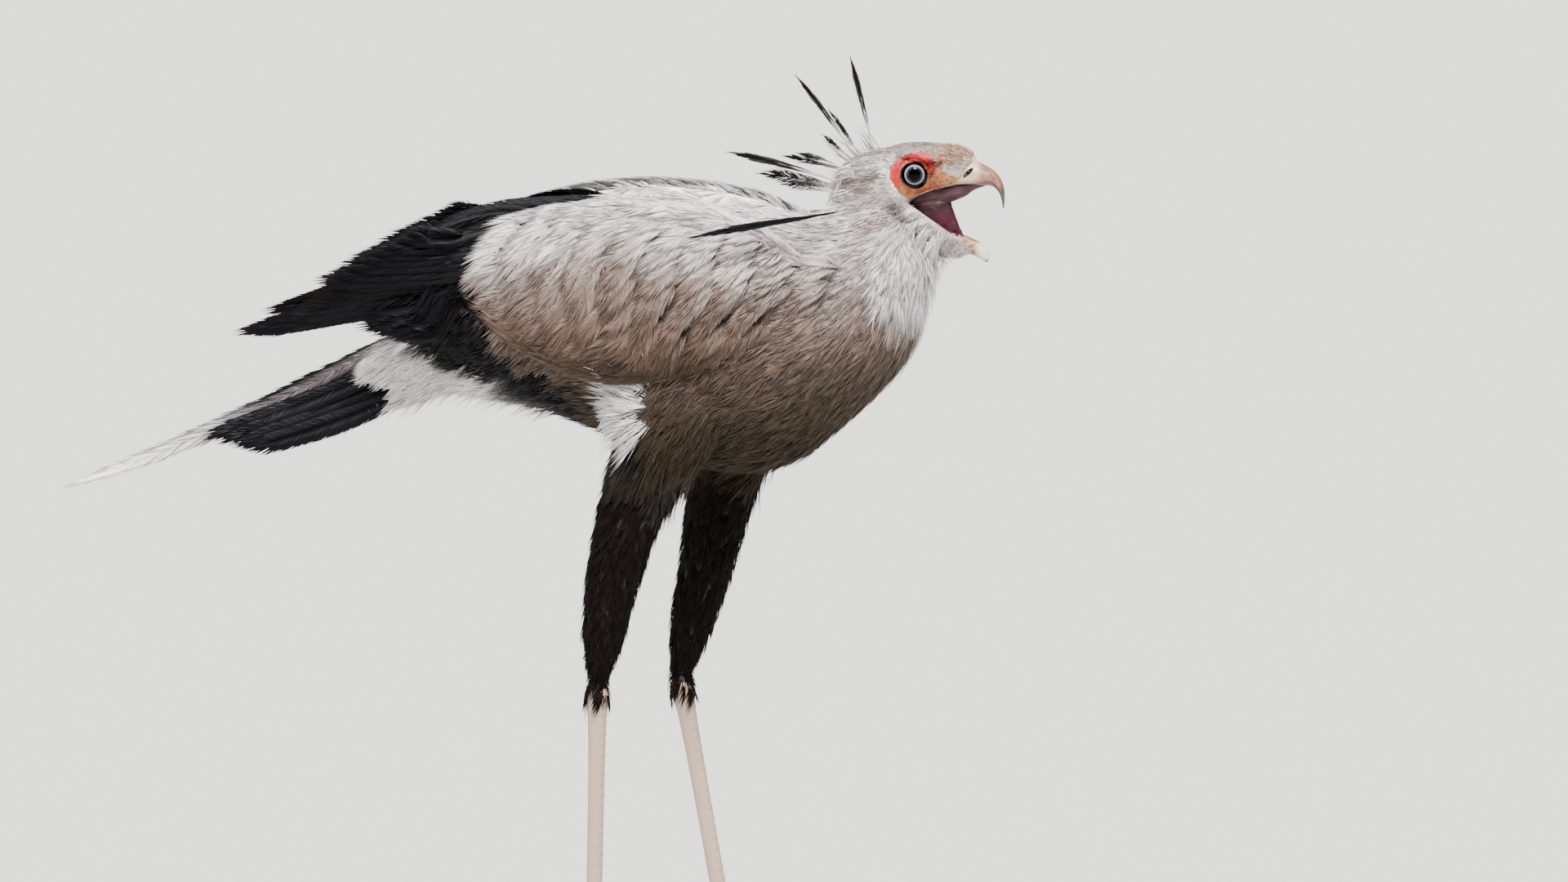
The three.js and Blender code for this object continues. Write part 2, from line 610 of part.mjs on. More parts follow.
function toeForm({ side, foot }, toe, grow = 0) {
  const turn = toe.turn * side;
  const at = (share, high, thick) => [
    foot + Math.cos(turn) * toe.long * share,
    side * LEG_OUT + Math.sin(turn) * toe.long * share,
    high, thick, thick, thick,
  ];
  const pad = (thick) => thick * SOLE - TOE_SINK;
  const rows = [
    at(0, FOOT_HEIGHT - 3, toe.thick),
    at(0.28, pad(toe.thick) + 1.2, toe.thick),
    at(0.45, pad(toe.thick * 0.92), toe.thick * 0.92),
    at(0.7, pad(toe.thick * 0.84), toe.thick * 0.84),
    at(0.88, pad(toe.thick * 0.76), toe.thick * 0.76),
    at(1, pad(toe.thick * 0.56), toe.thick * 0.56),
  ];
  const turned = Math.PI / TOE_SIDES;
  const hint = new THREE.Vector3(0, 0, 1);
  return limb(rows, { sides: TOE_SIDES, steps: TOE_STEPS, grow, hint, relief: knuckles, turn: turned });
}

function clawForm({ side, foot }, toe) {
  const turn = toe.turn * side;
  const at = (share, high, thick) => {
    const reach = toe.long - CLAW_ROOT + CLAW_LENGTH * share;
    return [foot + Math.cos(turn) * reach, side * LEG_OUT + Math.sin(turn) * reach, high, thick * 0.8, thick, thick];
  };
  const rows = [at(0, 5, 3.6), at(0.3, 6.2, 3.3), at(0.65, 5, 2.3), at(0.9, 2.4, 1.2), at(1, 1.1, 0.6)];
  return limb(rows, { sides: 6, steps: 3, hint: new THREE.Vector3(0, 0, 1) });
}

const floorBlock = solidOf(new THREE.BoxGeometry(900, 600, 40).translate(0, 0, -20));

function footForm(leg, grow = 0) {
  const hub = ellipsoid([leg.foot, leg.side * LEG_OUT, FOOT_HEIGHT - 3], [11, 10.5, 9.5], { grow, wide: 8, high: 5 });
  return cut(join([hub, ...TOES.map((toe) => toeForm(leg, toe, grow))]), grow ? [] : [floorBlock]);
}

// Materials, by the colours of the bird
const paint = (color, roughness) => new THREE.MeshStandardMaterial({ color, roughness, metalness: 0 });
const PLUMAGE = {
  taupe: paint(0x9a877a, 0.9),
  pale: paint(0xc4bcb8, 0.9),
  black: paint(0x15161c, 0.7),
  face: paint(0xc48a66, 0.6),
  horn: paint(0xb59282, 0.45),
  mouth: paint(0x4a2c37, 0.4),
  eye: paint(0x0d0c10, 0.1),
  leg: paint(0xa99a86, 0.6),
  claw: paint(0x1c1a1a, 0.4),
};

// Assembly: each body is cut clear of the ones that it meets
const bird = new THREE.Group();

function add(name, solid, material) {
  const { vertProperties, triVerts } = largest(solid).getMesh();
  const geometry = new THREE.BufferGeometry();
  geometry.setAttribute("position", new THREE.BufferAttribute(new Float32Array(vertProperties), 3));
  geometry.setIndex(new THREE.BufferAttribute(new Uint32Array(triVerts), 1));
  geometry.computeVertexNormals();
  const mesh = new THREE.Mesh(geometry, material);
  mesh.name = name;
  bird.add(mesh);
}

const rightWing = wingForm();
const leftWing = mirrored(rightWing).translate(0, 0, LEFT_WING_LIFT);
const rightWingRoom = wingForm(GAP);
const wingRoom = [rightWingRoom, mirrored(rightWingRoom).translate(0, 0, LEFT_WING_LIFT)];
const torsoRoom = torsoForm(GAP);
const neckRoom = neckForm(GAP);
const headRoom = headForm(GAP);

add("torso", cut(torsoForm(), wingRoom), PLUMAGE.taupe);
add("wing_right", rightWing, PLUMAGE.pale);
add("wing_left", leftWing, PLUMAGE.pale);

const shag = cut(join(throatLocks()), [jawForm(GAP)]);
const neck = join([neckForm(), shag, shoulderPlume(-1), shoulderPlume(1)]);
add("neck", cut(neck, [torsoRoom, ...wingRoom]), PLUMAGE.pale);

const eyes = [-1, 1].map((side) => eyeForm(side, GAP));
const trough = troughForm();
const lidsAndBrows = [-1, 1].flatMap((side) => [lidRing(side), browRidge(side)]);
const head = join([headForm(), ...lidsAndBrows, ...crestVanes()]);
add("head", cut(head, [neckRoom, torsoRoom, ...eyes, upperBillForm(GAP), palateForm()]), PLUMAGE.face);
add("eye_right", eyeForm(-1), PLUMAGE.eye);
add("eye_left", eyeForm(1), PLUMAGE.eye);
add("upper_bill", cut(upperBillForm(), [nostril(-1), nostril(1), palateForm()]), PLUMAGE.horn);
add("lower_bill", cut(lowerBillForm(), [trough]), PLUMAGE.horn);
add("jaw", cut(jawForm(), [headRoom, neckRoom, lowerBillForm(GAP), trough]), PLUMAGE.face);
const jawRoom = cut(jawForm(GAP), [troughForm(-GAP)]);
add("tongue", cut(tongueForm(), [headRoom, neckRoom, jawRoom, lowerBillForm(GAP)]), PLUMAGE.mouth);
add("tail", cut(tailForm(), [torsoRoom]), PLUMAGE.black);

for (const leg of LEGS) {
  const tarsusRoom = tarsusForm(leg, GAP);
  const thigh = join([thighForm(leg), ...thighTuft(leg)]);
  const thighRoom = join([thighForm(leg, GAP), ...thighTuft(leg, GAP)]);
  add(`thigh_${leg.name}`, cut(thigh, [torsoRoom, ...wingRoom]), PLUMAGE.taupe);
  add(`shank_${leg.name}`, cut(shankForm(leg), [torsoRoom, ...wingRoom, thighRoom, tarsusRoom]), PLUMAGE.black);
  add(`tarsus_${leg.name}`, tarsusForm(leg), PLUMAGE.leg);
  add(`foot_${leg.name}`, cut(footForm(leg), [tarsusRoom]), PLUMAGE.leg);
  const footRoom = footForm(leg, GAP);
  TOES.forEach((toe, i) => add(`claw_${leg.name}_${i + 1}`, cut(clawForm(leg, toe), [footRoom]), PLUMAGE.claw));
}

// The frame's origin is under the middle of the bird, on the floor
const box = new THREE.Box3().setFromObject(bird);
const middle = box.getCenter(new THREE.Vector3());
bird.position.set(-middle.x, -middle.y, -box.min.z);

export default bird;
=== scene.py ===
# %% [markdown]
# # A young secretary bird
# The solids of the bird come in as a fixed frame, and this lesson dresses them: one skin under the
# whole bird, then its plumage feather by feather, then the eyes, the bill and the legs. All sizes
# are given in millimetres in the bird's own drawing, and one function carries them into the frame.

import bmesh
import bpy
import numpy as np
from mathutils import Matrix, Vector
from mathutils.bvhtree import BVHTree
from mathutils.kdtree import KDTree


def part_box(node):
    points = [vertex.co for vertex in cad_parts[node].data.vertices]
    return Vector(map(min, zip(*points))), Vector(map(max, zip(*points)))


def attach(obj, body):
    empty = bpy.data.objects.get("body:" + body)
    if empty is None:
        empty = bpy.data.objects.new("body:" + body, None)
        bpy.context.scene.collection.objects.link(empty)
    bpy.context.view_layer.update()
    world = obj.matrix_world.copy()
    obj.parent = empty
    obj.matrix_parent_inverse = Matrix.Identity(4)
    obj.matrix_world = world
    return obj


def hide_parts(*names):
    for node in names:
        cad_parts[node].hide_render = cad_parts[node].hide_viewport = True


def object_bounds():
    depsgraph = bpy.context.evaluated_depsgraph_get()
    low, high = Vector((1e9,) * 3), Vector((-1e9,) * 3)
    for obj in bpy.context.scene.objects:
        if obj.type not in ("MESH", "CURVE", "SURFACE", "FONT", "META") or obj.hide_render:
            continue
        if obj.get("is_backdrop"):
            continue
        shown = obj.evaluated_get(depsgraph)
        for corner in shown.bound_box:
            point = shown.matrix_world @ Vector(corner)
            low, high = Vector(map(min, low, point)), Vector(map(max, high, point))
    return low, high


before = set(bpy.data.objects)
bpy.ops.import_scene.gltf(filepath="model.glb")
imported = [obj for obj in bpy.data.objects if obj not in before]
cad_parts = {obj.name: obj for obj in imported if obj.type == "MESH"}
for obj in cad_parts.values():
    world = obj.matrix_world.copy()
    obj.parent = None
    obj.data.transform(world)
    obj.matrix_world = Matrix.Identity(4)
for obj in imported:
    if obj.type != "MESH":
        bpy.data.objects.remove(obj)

CAD_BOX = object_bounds()
print("nodes in the frame:", len(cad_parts), "box:", [list(np.round(c, 3)) for c in CAD_BOX])

# %% [markdown]
# The frame is in metres with its origin under the middle of the bird, while the drawing counts
# from the middle of the back. The left eye is in both, so it tells how far the one lies from the
# other.

# %% From the drawing to the frame
MM = 0.001
EYE_AT = np.array((183.0, 20.0, 739.5))
EYE_RADIUS = 13.0

eye_low, eye_high = (np.array(corner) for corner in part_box("eye_left"))
SHIFT = (eye_low + eye_high) / 2 - EYE_AT * MM


def in_frame(points):
    """Points of the drawing, in the frame."""
    return np.asarray(points, dtype=float) * MM + SHIFT


print("drawing to frame:", np.round(SHIFT, 4))

# %% [markdown]
# Much of what follows is arithmetic on arrays of points, so a few short helpers come first. The
# noise is a sum of waves in seeded directions: smooth, quick, and the same at every run.

# %% Arithmetic on arrays
def unit(vectors):
    """Vectors of length one."""
    return vectors / np.maximum(np.linalg.norm(vectors, axis=-1, keepdims=True), 1e-9)


def mix(start, end, share):
    """The value at that share of the way."""
    return start + (end - start) * share


def ramp(low, high, values):
    """Rises smoothly from 0 at low to 1 at high."""
    t = np.clip((values - low) / (high - low), 0, 1)
    return t * t * (3 - 2 * t)


def bump(values, centre, width):
    """A rounded hill of height 1."""
    return np.exp(-(((values - centre) / width) ** 2))


def ripple(points, size, seed):
    """Smooth noise from about -1 to 1, in lumps of about that size."""
    draw = np.random.default_rng(seed)
    total = np.zeros(points.shape[:-1])
    for _ in range(6):
        wave = unit(draw.normal(size=3)) * draw.uniform(2.2, 5.2) / size
        total = total + np.sin(points @ wave + draw.uniform(0, 6.3))
    return total / 3


def srgb(*shades):
    """A colour given in the everyday 0 to 255 scale, in linear light."""
    return (np.array(shades, dtype=float) / 255) ** 2.2


# %% [markdown]
# The camera stands low and far off to the right of the bird, a little ahead of it, so the view
# is nearly without perspective. One pixel of the full frame is 0.70 mm at the bird. The feet fall
# below the frame, as they do where tall grass hides them.

# %% The camera
AZIMUTH = np.radians(12)
ELEVATION = np.radians(3)
CAMERA_DISTANCE = 36.0
MM_PER_PIXEL = 0.70
FRAME_WIDTH = 1920
SENSOR_WIDTH = 36
VIEW_DEPTH = 1000
VIEW_CENTRE = (63.0, 507.5)

right = np.array((np.cos(AZIMUTH), np.sin(AZIMUTH), 0))
level_ahead = np.array((-np.sin(AZIMUTH), np.cos(AZIMUTH), 0))
ahead = level_ahead * np.cos(ELEVATION) - (0, 0, np.sin(ELEVATION))
up = np.cross(right, ahead)
aim = in_frame(right * VIEW_CENTRE[0] + up * VIEW_CENTRE[1])

lens = bpy.data.cameras.new("camera")
lens.sensor_width = SENSOR_WIDTH
lens.lens = SENSOR_WIDTH * CAMERA_DISTANCE / (MM_PER_PIXEL * MM * FRAME_WIDTH)
lens.clip_end = VIEW_DEPTH
camera = bpy.data.objects.new("camera", lens)
camera.location = Vector(aim - ahead * CAMERA_DISTANCE)
camera.rotation_euler = Vector(ahead).to_track_quat("-Z", "Y").to_euler()
bpy.context.collection.objects.link(camera)
bpy.context.scene.camera = camera
print("focal length:", round(lens.lens), "mm")

# %% [markdown]
# Every part of the flesh is a tube through a short table of rows. A smooth curve through the rows
# gives as many rings as the part needs. Torso, neck, head and bill lie on the middle plane: a row
# is a slice seen from the side, the x and z of its top and of its bottom, its half width, and the
# share of its height where it is widest.

# %% Rings through a table
THINNEST = 0.4


def spread(rows, steps):
    """A smooth curve through every column of the table."""
    rows = np.asarray(rows, dtype=float)
    last = len(rows) - 1
    at = np.linspace(0, last, steps + 1)
    first = np.minimum(at.astype(int), last - 1)
    w = (at - first)[:, None]
    before, start, end, after = (rows[np.clip(first + k, 0, last)] for k in (-1, 0, 1, 2))
    leave, arrive = (end - before) / 2, (after - start) / 2
    cubic = (2 * start - 2 * end + leave + arrive) * w**3
    return cubic + (-3 * start + 3 * end - 2 * leave - arrive) * w**2 + leave * w + start


def profile(rows, steps, grow=0.0):
    """Rings on the middle plane: centre, side, up and down, grown or shrunk by some millimetres."""
    x_top, z_top, x_low, z_low, wide, level = spread(rows, steps).T
    top = np.stack([x_top, 0 * x_top, z_top], 1)
    low = np.stack([x_low, 0 * x_low, z_low], 1)
    rise = unit(top - low)
    top, low = top + rise * grow, low - rise * grow
    centre = mix(low, top, level[:, None])
    side = np.stack([0 * wide, np.maximum(wide + grow, THINNEST), 0 * wide], 1)
    return centre, side, top - centre, centre - low


def limb(rows, steps, grow=0.0, hint=(1.0, 0.0, 0.0)):
    """Rings along a limb. A row is its centre, half width, and reach towards the hint and away."""
    x, y, z, wide, front, back = spread(rows, steps).T
    centre = np.stack([x, y, z], 1)
    run = unit(np.gradient(centre, axis=0))
    side = unit(np.cross(run, hint))
    forward = np.cross(side, run)
    width, front, back = (np.maximum(reach + grow, THINNEST)[:, None] for reach in (wide, front, back))
    return centre, side * width, forward * front, forward * back


def tube(rings, sides):
    """The closed surface through the rings, as points and faces."""
    centre, side, up, down = rings
    turn = np.linspace(0, 2 * np.pi, sides, endpoint=False)
    cos, sin = np.cos(turn)[None, :, None], np.sin(turn)[None, :, None]
    points = centre[:, None] + side[:, None] * sin + np.where(cos > 0, up[:, None], down[:, None]) * cos
    count = len(centre)
    faces = [
        (j * sides + i, j * sides + (i + 1) % sides, (j + 1) * sides + (i + 1) % sides, (j + 1) * sides + i)
        for j in range(count - 1)
        for i in range(sides)
    ]
    last = (count - 1) * sides
    faces += [(count * sides, (i + 1) % sides, i) for i in range(sides)]
    faces += [(count * sides + 1, last + i, last + (i + 1) % sides) for i in range(sides)]
    return np.concatenate([points.reshape(-1, 3), centre[:1], centre[-1:]]), faces


# %% [markdown]
# These are the tables themselves, read off the bird's outline from the side and given its likely
# widths. TROUGH and PALATE are no flesh but the room of the open mouth, which is cut out later.

# %% The tables of the flesh
TORSO = [
    (-262, 606, -262, 562, 18, 0.5), (-240, 634, -240, 548, 36, 0.5), (-200, 672, -200, 540, 60, 0.52),
    (-150, 706, -150, 532, 82, 0.55), (-100, 722, -100, 514, 96, 0.55), (-50, 719, -50, 494, 104, 0.55),
    (0, 714, 0, 481, 108, 0.52), (50, 711, 48, 479, 106, 0.48), (88, 707, 84, 492, 99, 0.45),
    (118, 697, 108, 512, 90, 0.45), (142, 682, 130, 531, 78, 0.45), (162, 664, 150, 551, 62, 0.45),
    (178, 642, 168, 573, 42, 0.45), (186, 620, 182, 599, 14, 0.5),
]
NECK = [
    (130, 741, 170, 701, 22, 0.5), (119, 732, 188, 681, 32, 0.5), (107, 719, 199, 657, 45, 0.5),
    (92, 708, 192, 630, 61, 0.5), (70, 700, 182, 606, 76, 0.5), (40, 690, 158, 590, 84, 0.5),
]
HEAD = [
    (110, 737, 108, 718, 8, 0.5), (119, 748.5, 116, 706, 20, 0.5), (132, 755.5, 130, 700, 27, 0.55),
    (149, 760.3, 150, 698, 30.5, 0.55), (167, 765.3, 167, 705, 31, 0.5),
    (180, 766.6, 179, 717, 28.5, 0.44), (195, 766.4, 194, 723.6, 24.5, 0.36),
    (209, 765, 209, 727.2, 19.5, 0.32), (220, 763, 218.5, 729.2, 15, 0.3),
    (229, 758.6, 224, 731.5, 10.5, 0.3), (233.4, 752.4, 227, 736, 5, 0.4),
]
JAW = [
    (166, 724, 168, 695, 20, 0.6), (177, 716, 182, 685, 21, 0.7), (188, 708.2, 194, 675, 19.5, 0.75),
    (199.5, 700.4, 205, 668.8, 17, 0.8), (210, 693.9, 214, 668, 13.8, 0.8),
    (219, 688.6, 221, 670, 10.6, 0.8), (226, 683.6, 228, 672.6, 7, 0.7),
]
TROUGH = [
    (168, 732, 174, 711, 13.5, 0.5), (188, 716, 191, 696, 13, 0.5), (210, 702, 211, 686, 9.5, 0.5),
    (228, 692, 227, 679, 5.8, 0.5), (237, 687, 234.5, 676, 2.8, 0.5),
]
PALATE = [
    (207, 731.5, 206, 719.5, 7, 0.5), (222, 734.5, 222, 721.5, 8, 0.5),
    (237, 733.6, 236, 723.5, 5.4, 0.5), (246, 731.6, 244.5, 722.5, 2.4, 0.5),
]
TAIL_CONE = [
    (-205, 655, -200, 560, 28, 0.5), (-240, 624, -235, 540, 35, 0.5), (-270, 604, -262, 531, 33, 0.5),
    (-300, 589, -292, 527, 27, 0.5), (-325, 576, -318, 529, 19, 0.5), (-342, 566, -338, 540, 9, 0.5),
]

# %% [markdown]
# The wing's arm is a tube whose rings lean over the back. The left wing is the mirror image of the
# right one, carried a little higher. A leg goes from the thigh in its feathers, through the
# feathered shank, to the long bare tarsus and the toes.

# %% The wing's arm and the legs
WING = [
    (92, -80, 642, 6, 24, 28), (62, -86, 643, 18, 46, 52), (30, -91, 645, 22, 58, 68),
    (-20, -96, 648, 26, 64, 80), (-70, -97, 650, 27, 64, 84), (-120, -92, 653, 23, 56, 74),
    (-160, -84, 657, 16, 42, 54), (-196, -77, 661, 8, 26, 30), (-222, -74, 660, 3, 9, 10),
]
WING_LEAN = 0.42
LEFT_WING_LIFT = 13.0
MIRROR = np.array((1.0, -1.0, 1.0))


def wing_rings(steps, grow=0.0):
    """The rings of the right wing's arm."""
    x, y, z, thick, high, deep = spread(WING, steps).T
    none = 0 * x
    thick, high, deep = (np.maximum(reach + grow, 0.5) for reach in (thick, high, deep))
    centre, side = np.stack([x, y, z], 1), np.stack([none, thick, none], 1)
    return centre, side, np.stack([none, WING_LEAN * high, high], 1), np.stack([none, none, deep], 1)


LEG_OUT = 56
LEGS = {
    "right": {"side": -1, "hip": -30, "shin": -66, "ankle": -86, "foot": -92},
    "left": {"side": 1, "hip": 8, "shin": -10, "ankle": -38, "foot": 14},
}
HIP_HEIGHT, SHIN_HEIGHT, ANKLE_HEIGHT, FOOT_HEIGHT = 520, 420, 300, 17
THIGH = [
    (18, 78, 604, 16, 34, 34), (12, 76, 585, 28, 52, 50), (6, 72, 545, 36, 58, 52),
    (0, 66, 510, 34, 50, 46), (-2, 60, 484, 24, 36, 32), (-2, 58, 470, 12, 22, 18),
]
SHANK = [(0, 36, 42, 40), (0.18, 34, 37, 37), (0.38, 30, 32, 33), (0.6, 26, 27, 29), (0.78, 21, 21, 25),
         (0.92, 14, 14, 17), (1, 9.5, 9.5, 12)]
TARSUS_RADIUS = 6.6
TARSUS = [(0, 0.9, 0.9, 1.1), (0.05, 1.35, 1.3, 1.6), (0.12, 1.1, 1.1, 1.3), (0.3, 0.92, 1, 1.1),
          (0.6, 0.88, 1, 1.05), (0.88, 1, 1.1, 1.15), (1, 1.25, 1.3, 1.3)]


def thigh_rings(leg, steps, grow=0.0):
    """The thigh, hung on its hip."""
    rows = [(leg["hip"] + forward, leg["side"] * out, *rest) for forward, out, *rest in THIGH]
    return limb(rows, steps, grow)


def shank_rings(leg, steps, grow=0.0):
    """The feathered shank, bent at its middle."""
    bends = [(leg["hip"], HIP_HEIGHT), (leg["shin"], SHIN_HEIGHT), (leg["ankle"], ANKLE_HEIGHT)]
    path = spread(bends, 100)
    rows = []
    for share, wide, front, back in SHANK:
        x, z = path[round(share * 100)]
        rows.append((x, leg["side"] * LEG_OUT, z, wide, front, back))
    return limb(rows, steps, grow)


def tarsus_rings(leg, steps, grow=0.0):
    """The bare tarsus, from the ankle to the foot."""
    rows = []
    for share, *radii in TARSUS:
        x = mix(leg["ankle"], leg["foot"], share)
        z = mix(ANKLE_HEIGHT + 4, FOOT_HEIGHT, share)
        rows.append((x, leg["side"] * LEG_OUT, z, *(TARSUS_RADIUS * radius for radius in radii)))
    return limb(rows, steps, grow)


# %% [markdown]
# A foot has three toes ahead and one behind, on flat pads. Each toe turns down from the joint,
# narrows towards its claw, and carries knuckles.

# %% The toes and claws
TOES = [(0.02, 60, 8.2), (0.55, 45, 7.6), (-0.52, 47, 7.6), (np.pi - 0.25, 27, 6.8)]
TOE_ROWS = [(0, None, 1), (0.28, 1.2, 1), (0.45, 0, 0.92), (0.7, 0, 0.84), (0.88, 0, 0.76), (1, 0, 0.56)]
TOE_SOLE = 0.866
CLAW_LENGTH, CLAW_ROOT = 19, 3
CLAW_ROWS = [(0, 5, 3.6), (0.3, 6.2, 3.3), (0.65, 5, 2.3), (0.9, 2.4, 1.2), (1, 1.1, 0.6)]


def toe_rings(leg, toe, steps, grow=0.0):
    """One toe, from the joint of the foot to the root of its claw."""
    turn, long, thick = toe[0] * leg["side"], toe[1], toe[2]
    rows = []
    for share, rise, size in TOE_ROWS:
        radius = thick * size
        high = FOOT_HEIGHT - 3 if rise is None else radius * TOE_SOLE - 0.4 + rise
        x, y = leg["foot"] + np.cos(turn) * long * share, leg["side"] * LEG_OUT + np.sin(turn) * long * share
        rows.append((x, y, high, radius, radius, radius))
    return limb(rows, steps, grow, hint=(0.0, 0.0, 1.0))


def claw_rings(leg, toe, steps, grow=0.0):
    """One claw, arched over its own tip."""
    turn, long = toe[0] * leg["side"], toe[1]
    rows = []
    for share, high, thick in CLAW_ROWS:
        reach = long - CLAW_ROOT + CLAW_LENGTH * share
        x, y = leg["foot"] + np.cos(turn) * reach, leg["side"] * LEG_OUT + np.sin(turn) * reach
        rows.append((x, y, high, thick * 0.8, thick, thick))
    return limb(rows, steps, grow, hint=(0.0, 0.0, 1.0))


# %% [markdown]
# ## One skin
# On the real bird the skin runs without a seam from the bill to the toes. Sculpting it would be
# one way. Here the tubes are poured together instead: a voxel remesh turns overlapping closed
# shapes into one surface. These helpers make an object from points and faces, apply modifiers,
# remesh, and add or cut away a shape.

# %% Helpers for solid meshes
def plain_object(name, verts, faces):
    """An object from points of the drawing and faces, with its faces turned outwards."""
    mesh = bpy.data.meshes.new(name)
    mesh.from_pydata([tuple(p) for p in in_frame(verts)], [], faces)
    shell = bmesh.new()
    shell.from_mesh(mesh)
    bmesh.ops.recalc_face_normals(shell, faces=shell.faces)
    shell.to_mesh(mesh)
    shell.free()
    thing = bpy.data.objects.new(name, mesh)
    bpy.context.collection.objects.link(thing)
    return thing


def settle(thing):
    """Applies an object's modifiers."""
    final = bpy.data.meshes.new_from_object(thing.evaluated_get(bpy.context.evaluated_depsgraph_get()))
    thing.modifiers.clear()
    thing.data = final
    return thing


def join(things):
    """Several objects as one."""
    shell = bmesh.new()
    for thing in things:
        shell.from_mesh(thing.data)
    shell.to_mesh(things[0].data)
    shell.free()
    for thing in things[1:]:
        bpy.data.objects.remove(thing)
    return things[0]


def remesh(thing, voxel, smoothing):
    """One surface round the overlapping shapes, softened a little."""
    grid = thing.modifiers.new("voxels", "REMESH")
    grid.mode = "VOXEL"
    grid.voxel_size = voxel * MM
    soften = thing.modifiers.new("soften", "SMOOTH")
    soften.iterations = smoothing
    return settle(thing)


def combine(base, other, operation):
    """Adds the other shape to the base, or cuts it away, and removes it."""
    step = base.modifiers.new("combine", "BOOLEAN")
    step.operation = operation
    step.object = other
    step.solver = "MANIFOLD"
    settle(base)
    bpy.data.objects.remove(other)
    return base


# %% [markdown]
# The body under its feathers needs only coarse voxels, the head and the legs fine ones, and a union
# makes one surface of the three. Where feathers will cover it, the skin lies lower by their depth.
# The numbers beside each table say how many rings its tube gets and how many sides each ring.

# %% Pour the body
BODY_DEPTH = {"torso": -7, "neck": -7, "tail": -8, "wing": -4, "thigh": -7, "shank": -6}
BODY_VOXEL, HEAD_VOXEL, LEG_VOXEL = 3.6, 0.8, 1.15
BODY_SMOOTHING, HEAD_SMOOTHING, LEG_SMOOTHING = 6, 2, 1

body_tubes = {
    "torso": tube(profile(TORSO, 60, BODY_DEPTH["torso"]), 64),
    "neck": tube(profile(NECK, 30, BODY_DEPTH["neck"]), 48),
    "tail": tube(profile(TAIL_CONE, 30, BODY_DEPTH["tail"]), 40),
}
right_arm, arm_faces = tube(wing_rings(50, BODY_DEPTH["wing"]), 40)
body_tubes["wing_right"] = (right_arm, arm_faces)
body_tubes["wing_left"] = (right_arm * MIRROR + (0, 0, LEFT_WING_LIFT), arm_faces)
for name, leg in LEGS.items():
    body_tubes["thigh_" + name] = tube(thigh_rings(leg, 30, BODY_DEPTH["thigh"]), 40)
    body_tubes["shank_" + name] = tube(shank_rings(leg, 40, BODY_DEPTH["shank"]), 32)

body = join([plain_object(name, *shape) for name, shape in body_tubes.items()])
body = remesh(body, BODY_VOXEL, BODY_SMOOTHING)
print("body faces:", len(body.data.polygons))

# %% [markdown]
# The head's skin is bare on the face, so it takes the full size of the solids there. The ridge of
# the brow goes in before the pouring. The mouth is cut out of the jaw first, so the voxels round
# its rims as lips would be.

# %% Pour the head
HEAD_DEPTH = -0.7
BROW_AT, BROW_RADII, BROW_TURN = (187.0, 21.0, 754.3), (21.0, 6.8, 4.2), 0.1


def ellipsoid(centre, radii, wide=32, high=20, turn=0.0):
    """A stretched ball, turned about the y axis, as points and faces."""
    ball = bmesh.new()
    bmesh.ops.create_uvsphere(ball, u_segments=wide, v_segments=high, radius=1)
    points = np.array([v.co for v in ball.verts]) * radii
    faces = [tuple(v.index for v in face.verts) for face in ball.faces]
    ball.free()
    x, y, z = points.T
    cos, sin = np.cos(turn), np.sin(turn)
    return np.stack([cos * x + sin * z, y, cos * z - sin * x], 1) + centre, faces


jaw = plain_object("jaw", *tube(profile(JAW, 60), 64))
jaw = combine(jaw, plain_object("trough", *tube(profile(TROUGH, 50), 48)), "DIFFERENCE")
skull = plain_object("skull", *tube(profile(HEAD, 90, HEAD_DEPTH), 96))
skull = combine(skull, plain_object("palate", *tube(profile(PALATE, 30), 32)), "DIFFERENCE")
brows = [
    plain_object("brow", *ellipsoid(np.array(BROW_AT) * (1, side, 1), BROW_RADII, turn=BROW_TURN))
    for side in (-1, 1)
]
head = remesh(join([skull, jaw, *brows]), HEAD_VOXEL, HEAD_SMOOTHING)
print("head faces:", len(head.data.polygons))

# %% [markdown]
# Each bare leg is a tube with a small ball where its toes meet. It is poured with fine voxels, so
# the clefts between the toes stay open, and its upper end reaches up inside the feathered shank.

# %% Pour the legs and make one surface
HUB_RADII, HUB_DROP = (11, 10.5, 9.5), 3

skin = combine(body, head, "UNION")
for name, leg in LEGS.items():
    hub_at = (leg["foot"], leg["side"] * LEG_OUT, FOOT_HEIGHT - HUB_DROP)
    hub = plain_object("hub", *ellipsoid(hub_at, HUB_RADII))
    tarsus = plain_object("tarsus", *tube(tarsus_rings(leg, 120), 40))
    toes = [plain_object("toe", *tube(toe_rings(leg, toe, 40), 28)) for toe in TOES]
    skin = combine(skin, remesh(join([hub, tarsus, *toes]), LEG_VOXEL, LEG_SMOOTHING), "UNION")
skin.name = skin.data.name = "skin"
print("skin faces:", len(skin.data.polygons))

# %% [markdown]
# ## Lids, folds and plates
# Voxels round everything off, so the fine relief goes in afterwards. Where it goes depends on the
# outline of the bare face and on the two edges of the open mouth, which are short lines of corners
# seen from the side. The same lines later keep the feathers off the bare skin.

# %% The outline of the bare face
def drawn(mesh):
    """The points of a mesh, in the drawing."""
    flat = np.empty(len(mesh.vertices) * 3)
    mesh.vertices.foreach_get("co", flat)
    return (flat.reshape(-1, 3) - SHIFT) / MM


def normals_of(mesh):
    """The normal at every point of a mesh."""
    flat = np.empty(len(mesh.vertices) * 3)
    mesh.vertex_normals.foreach_get("vector", flat)
    return flat.reshape(-1, 3)


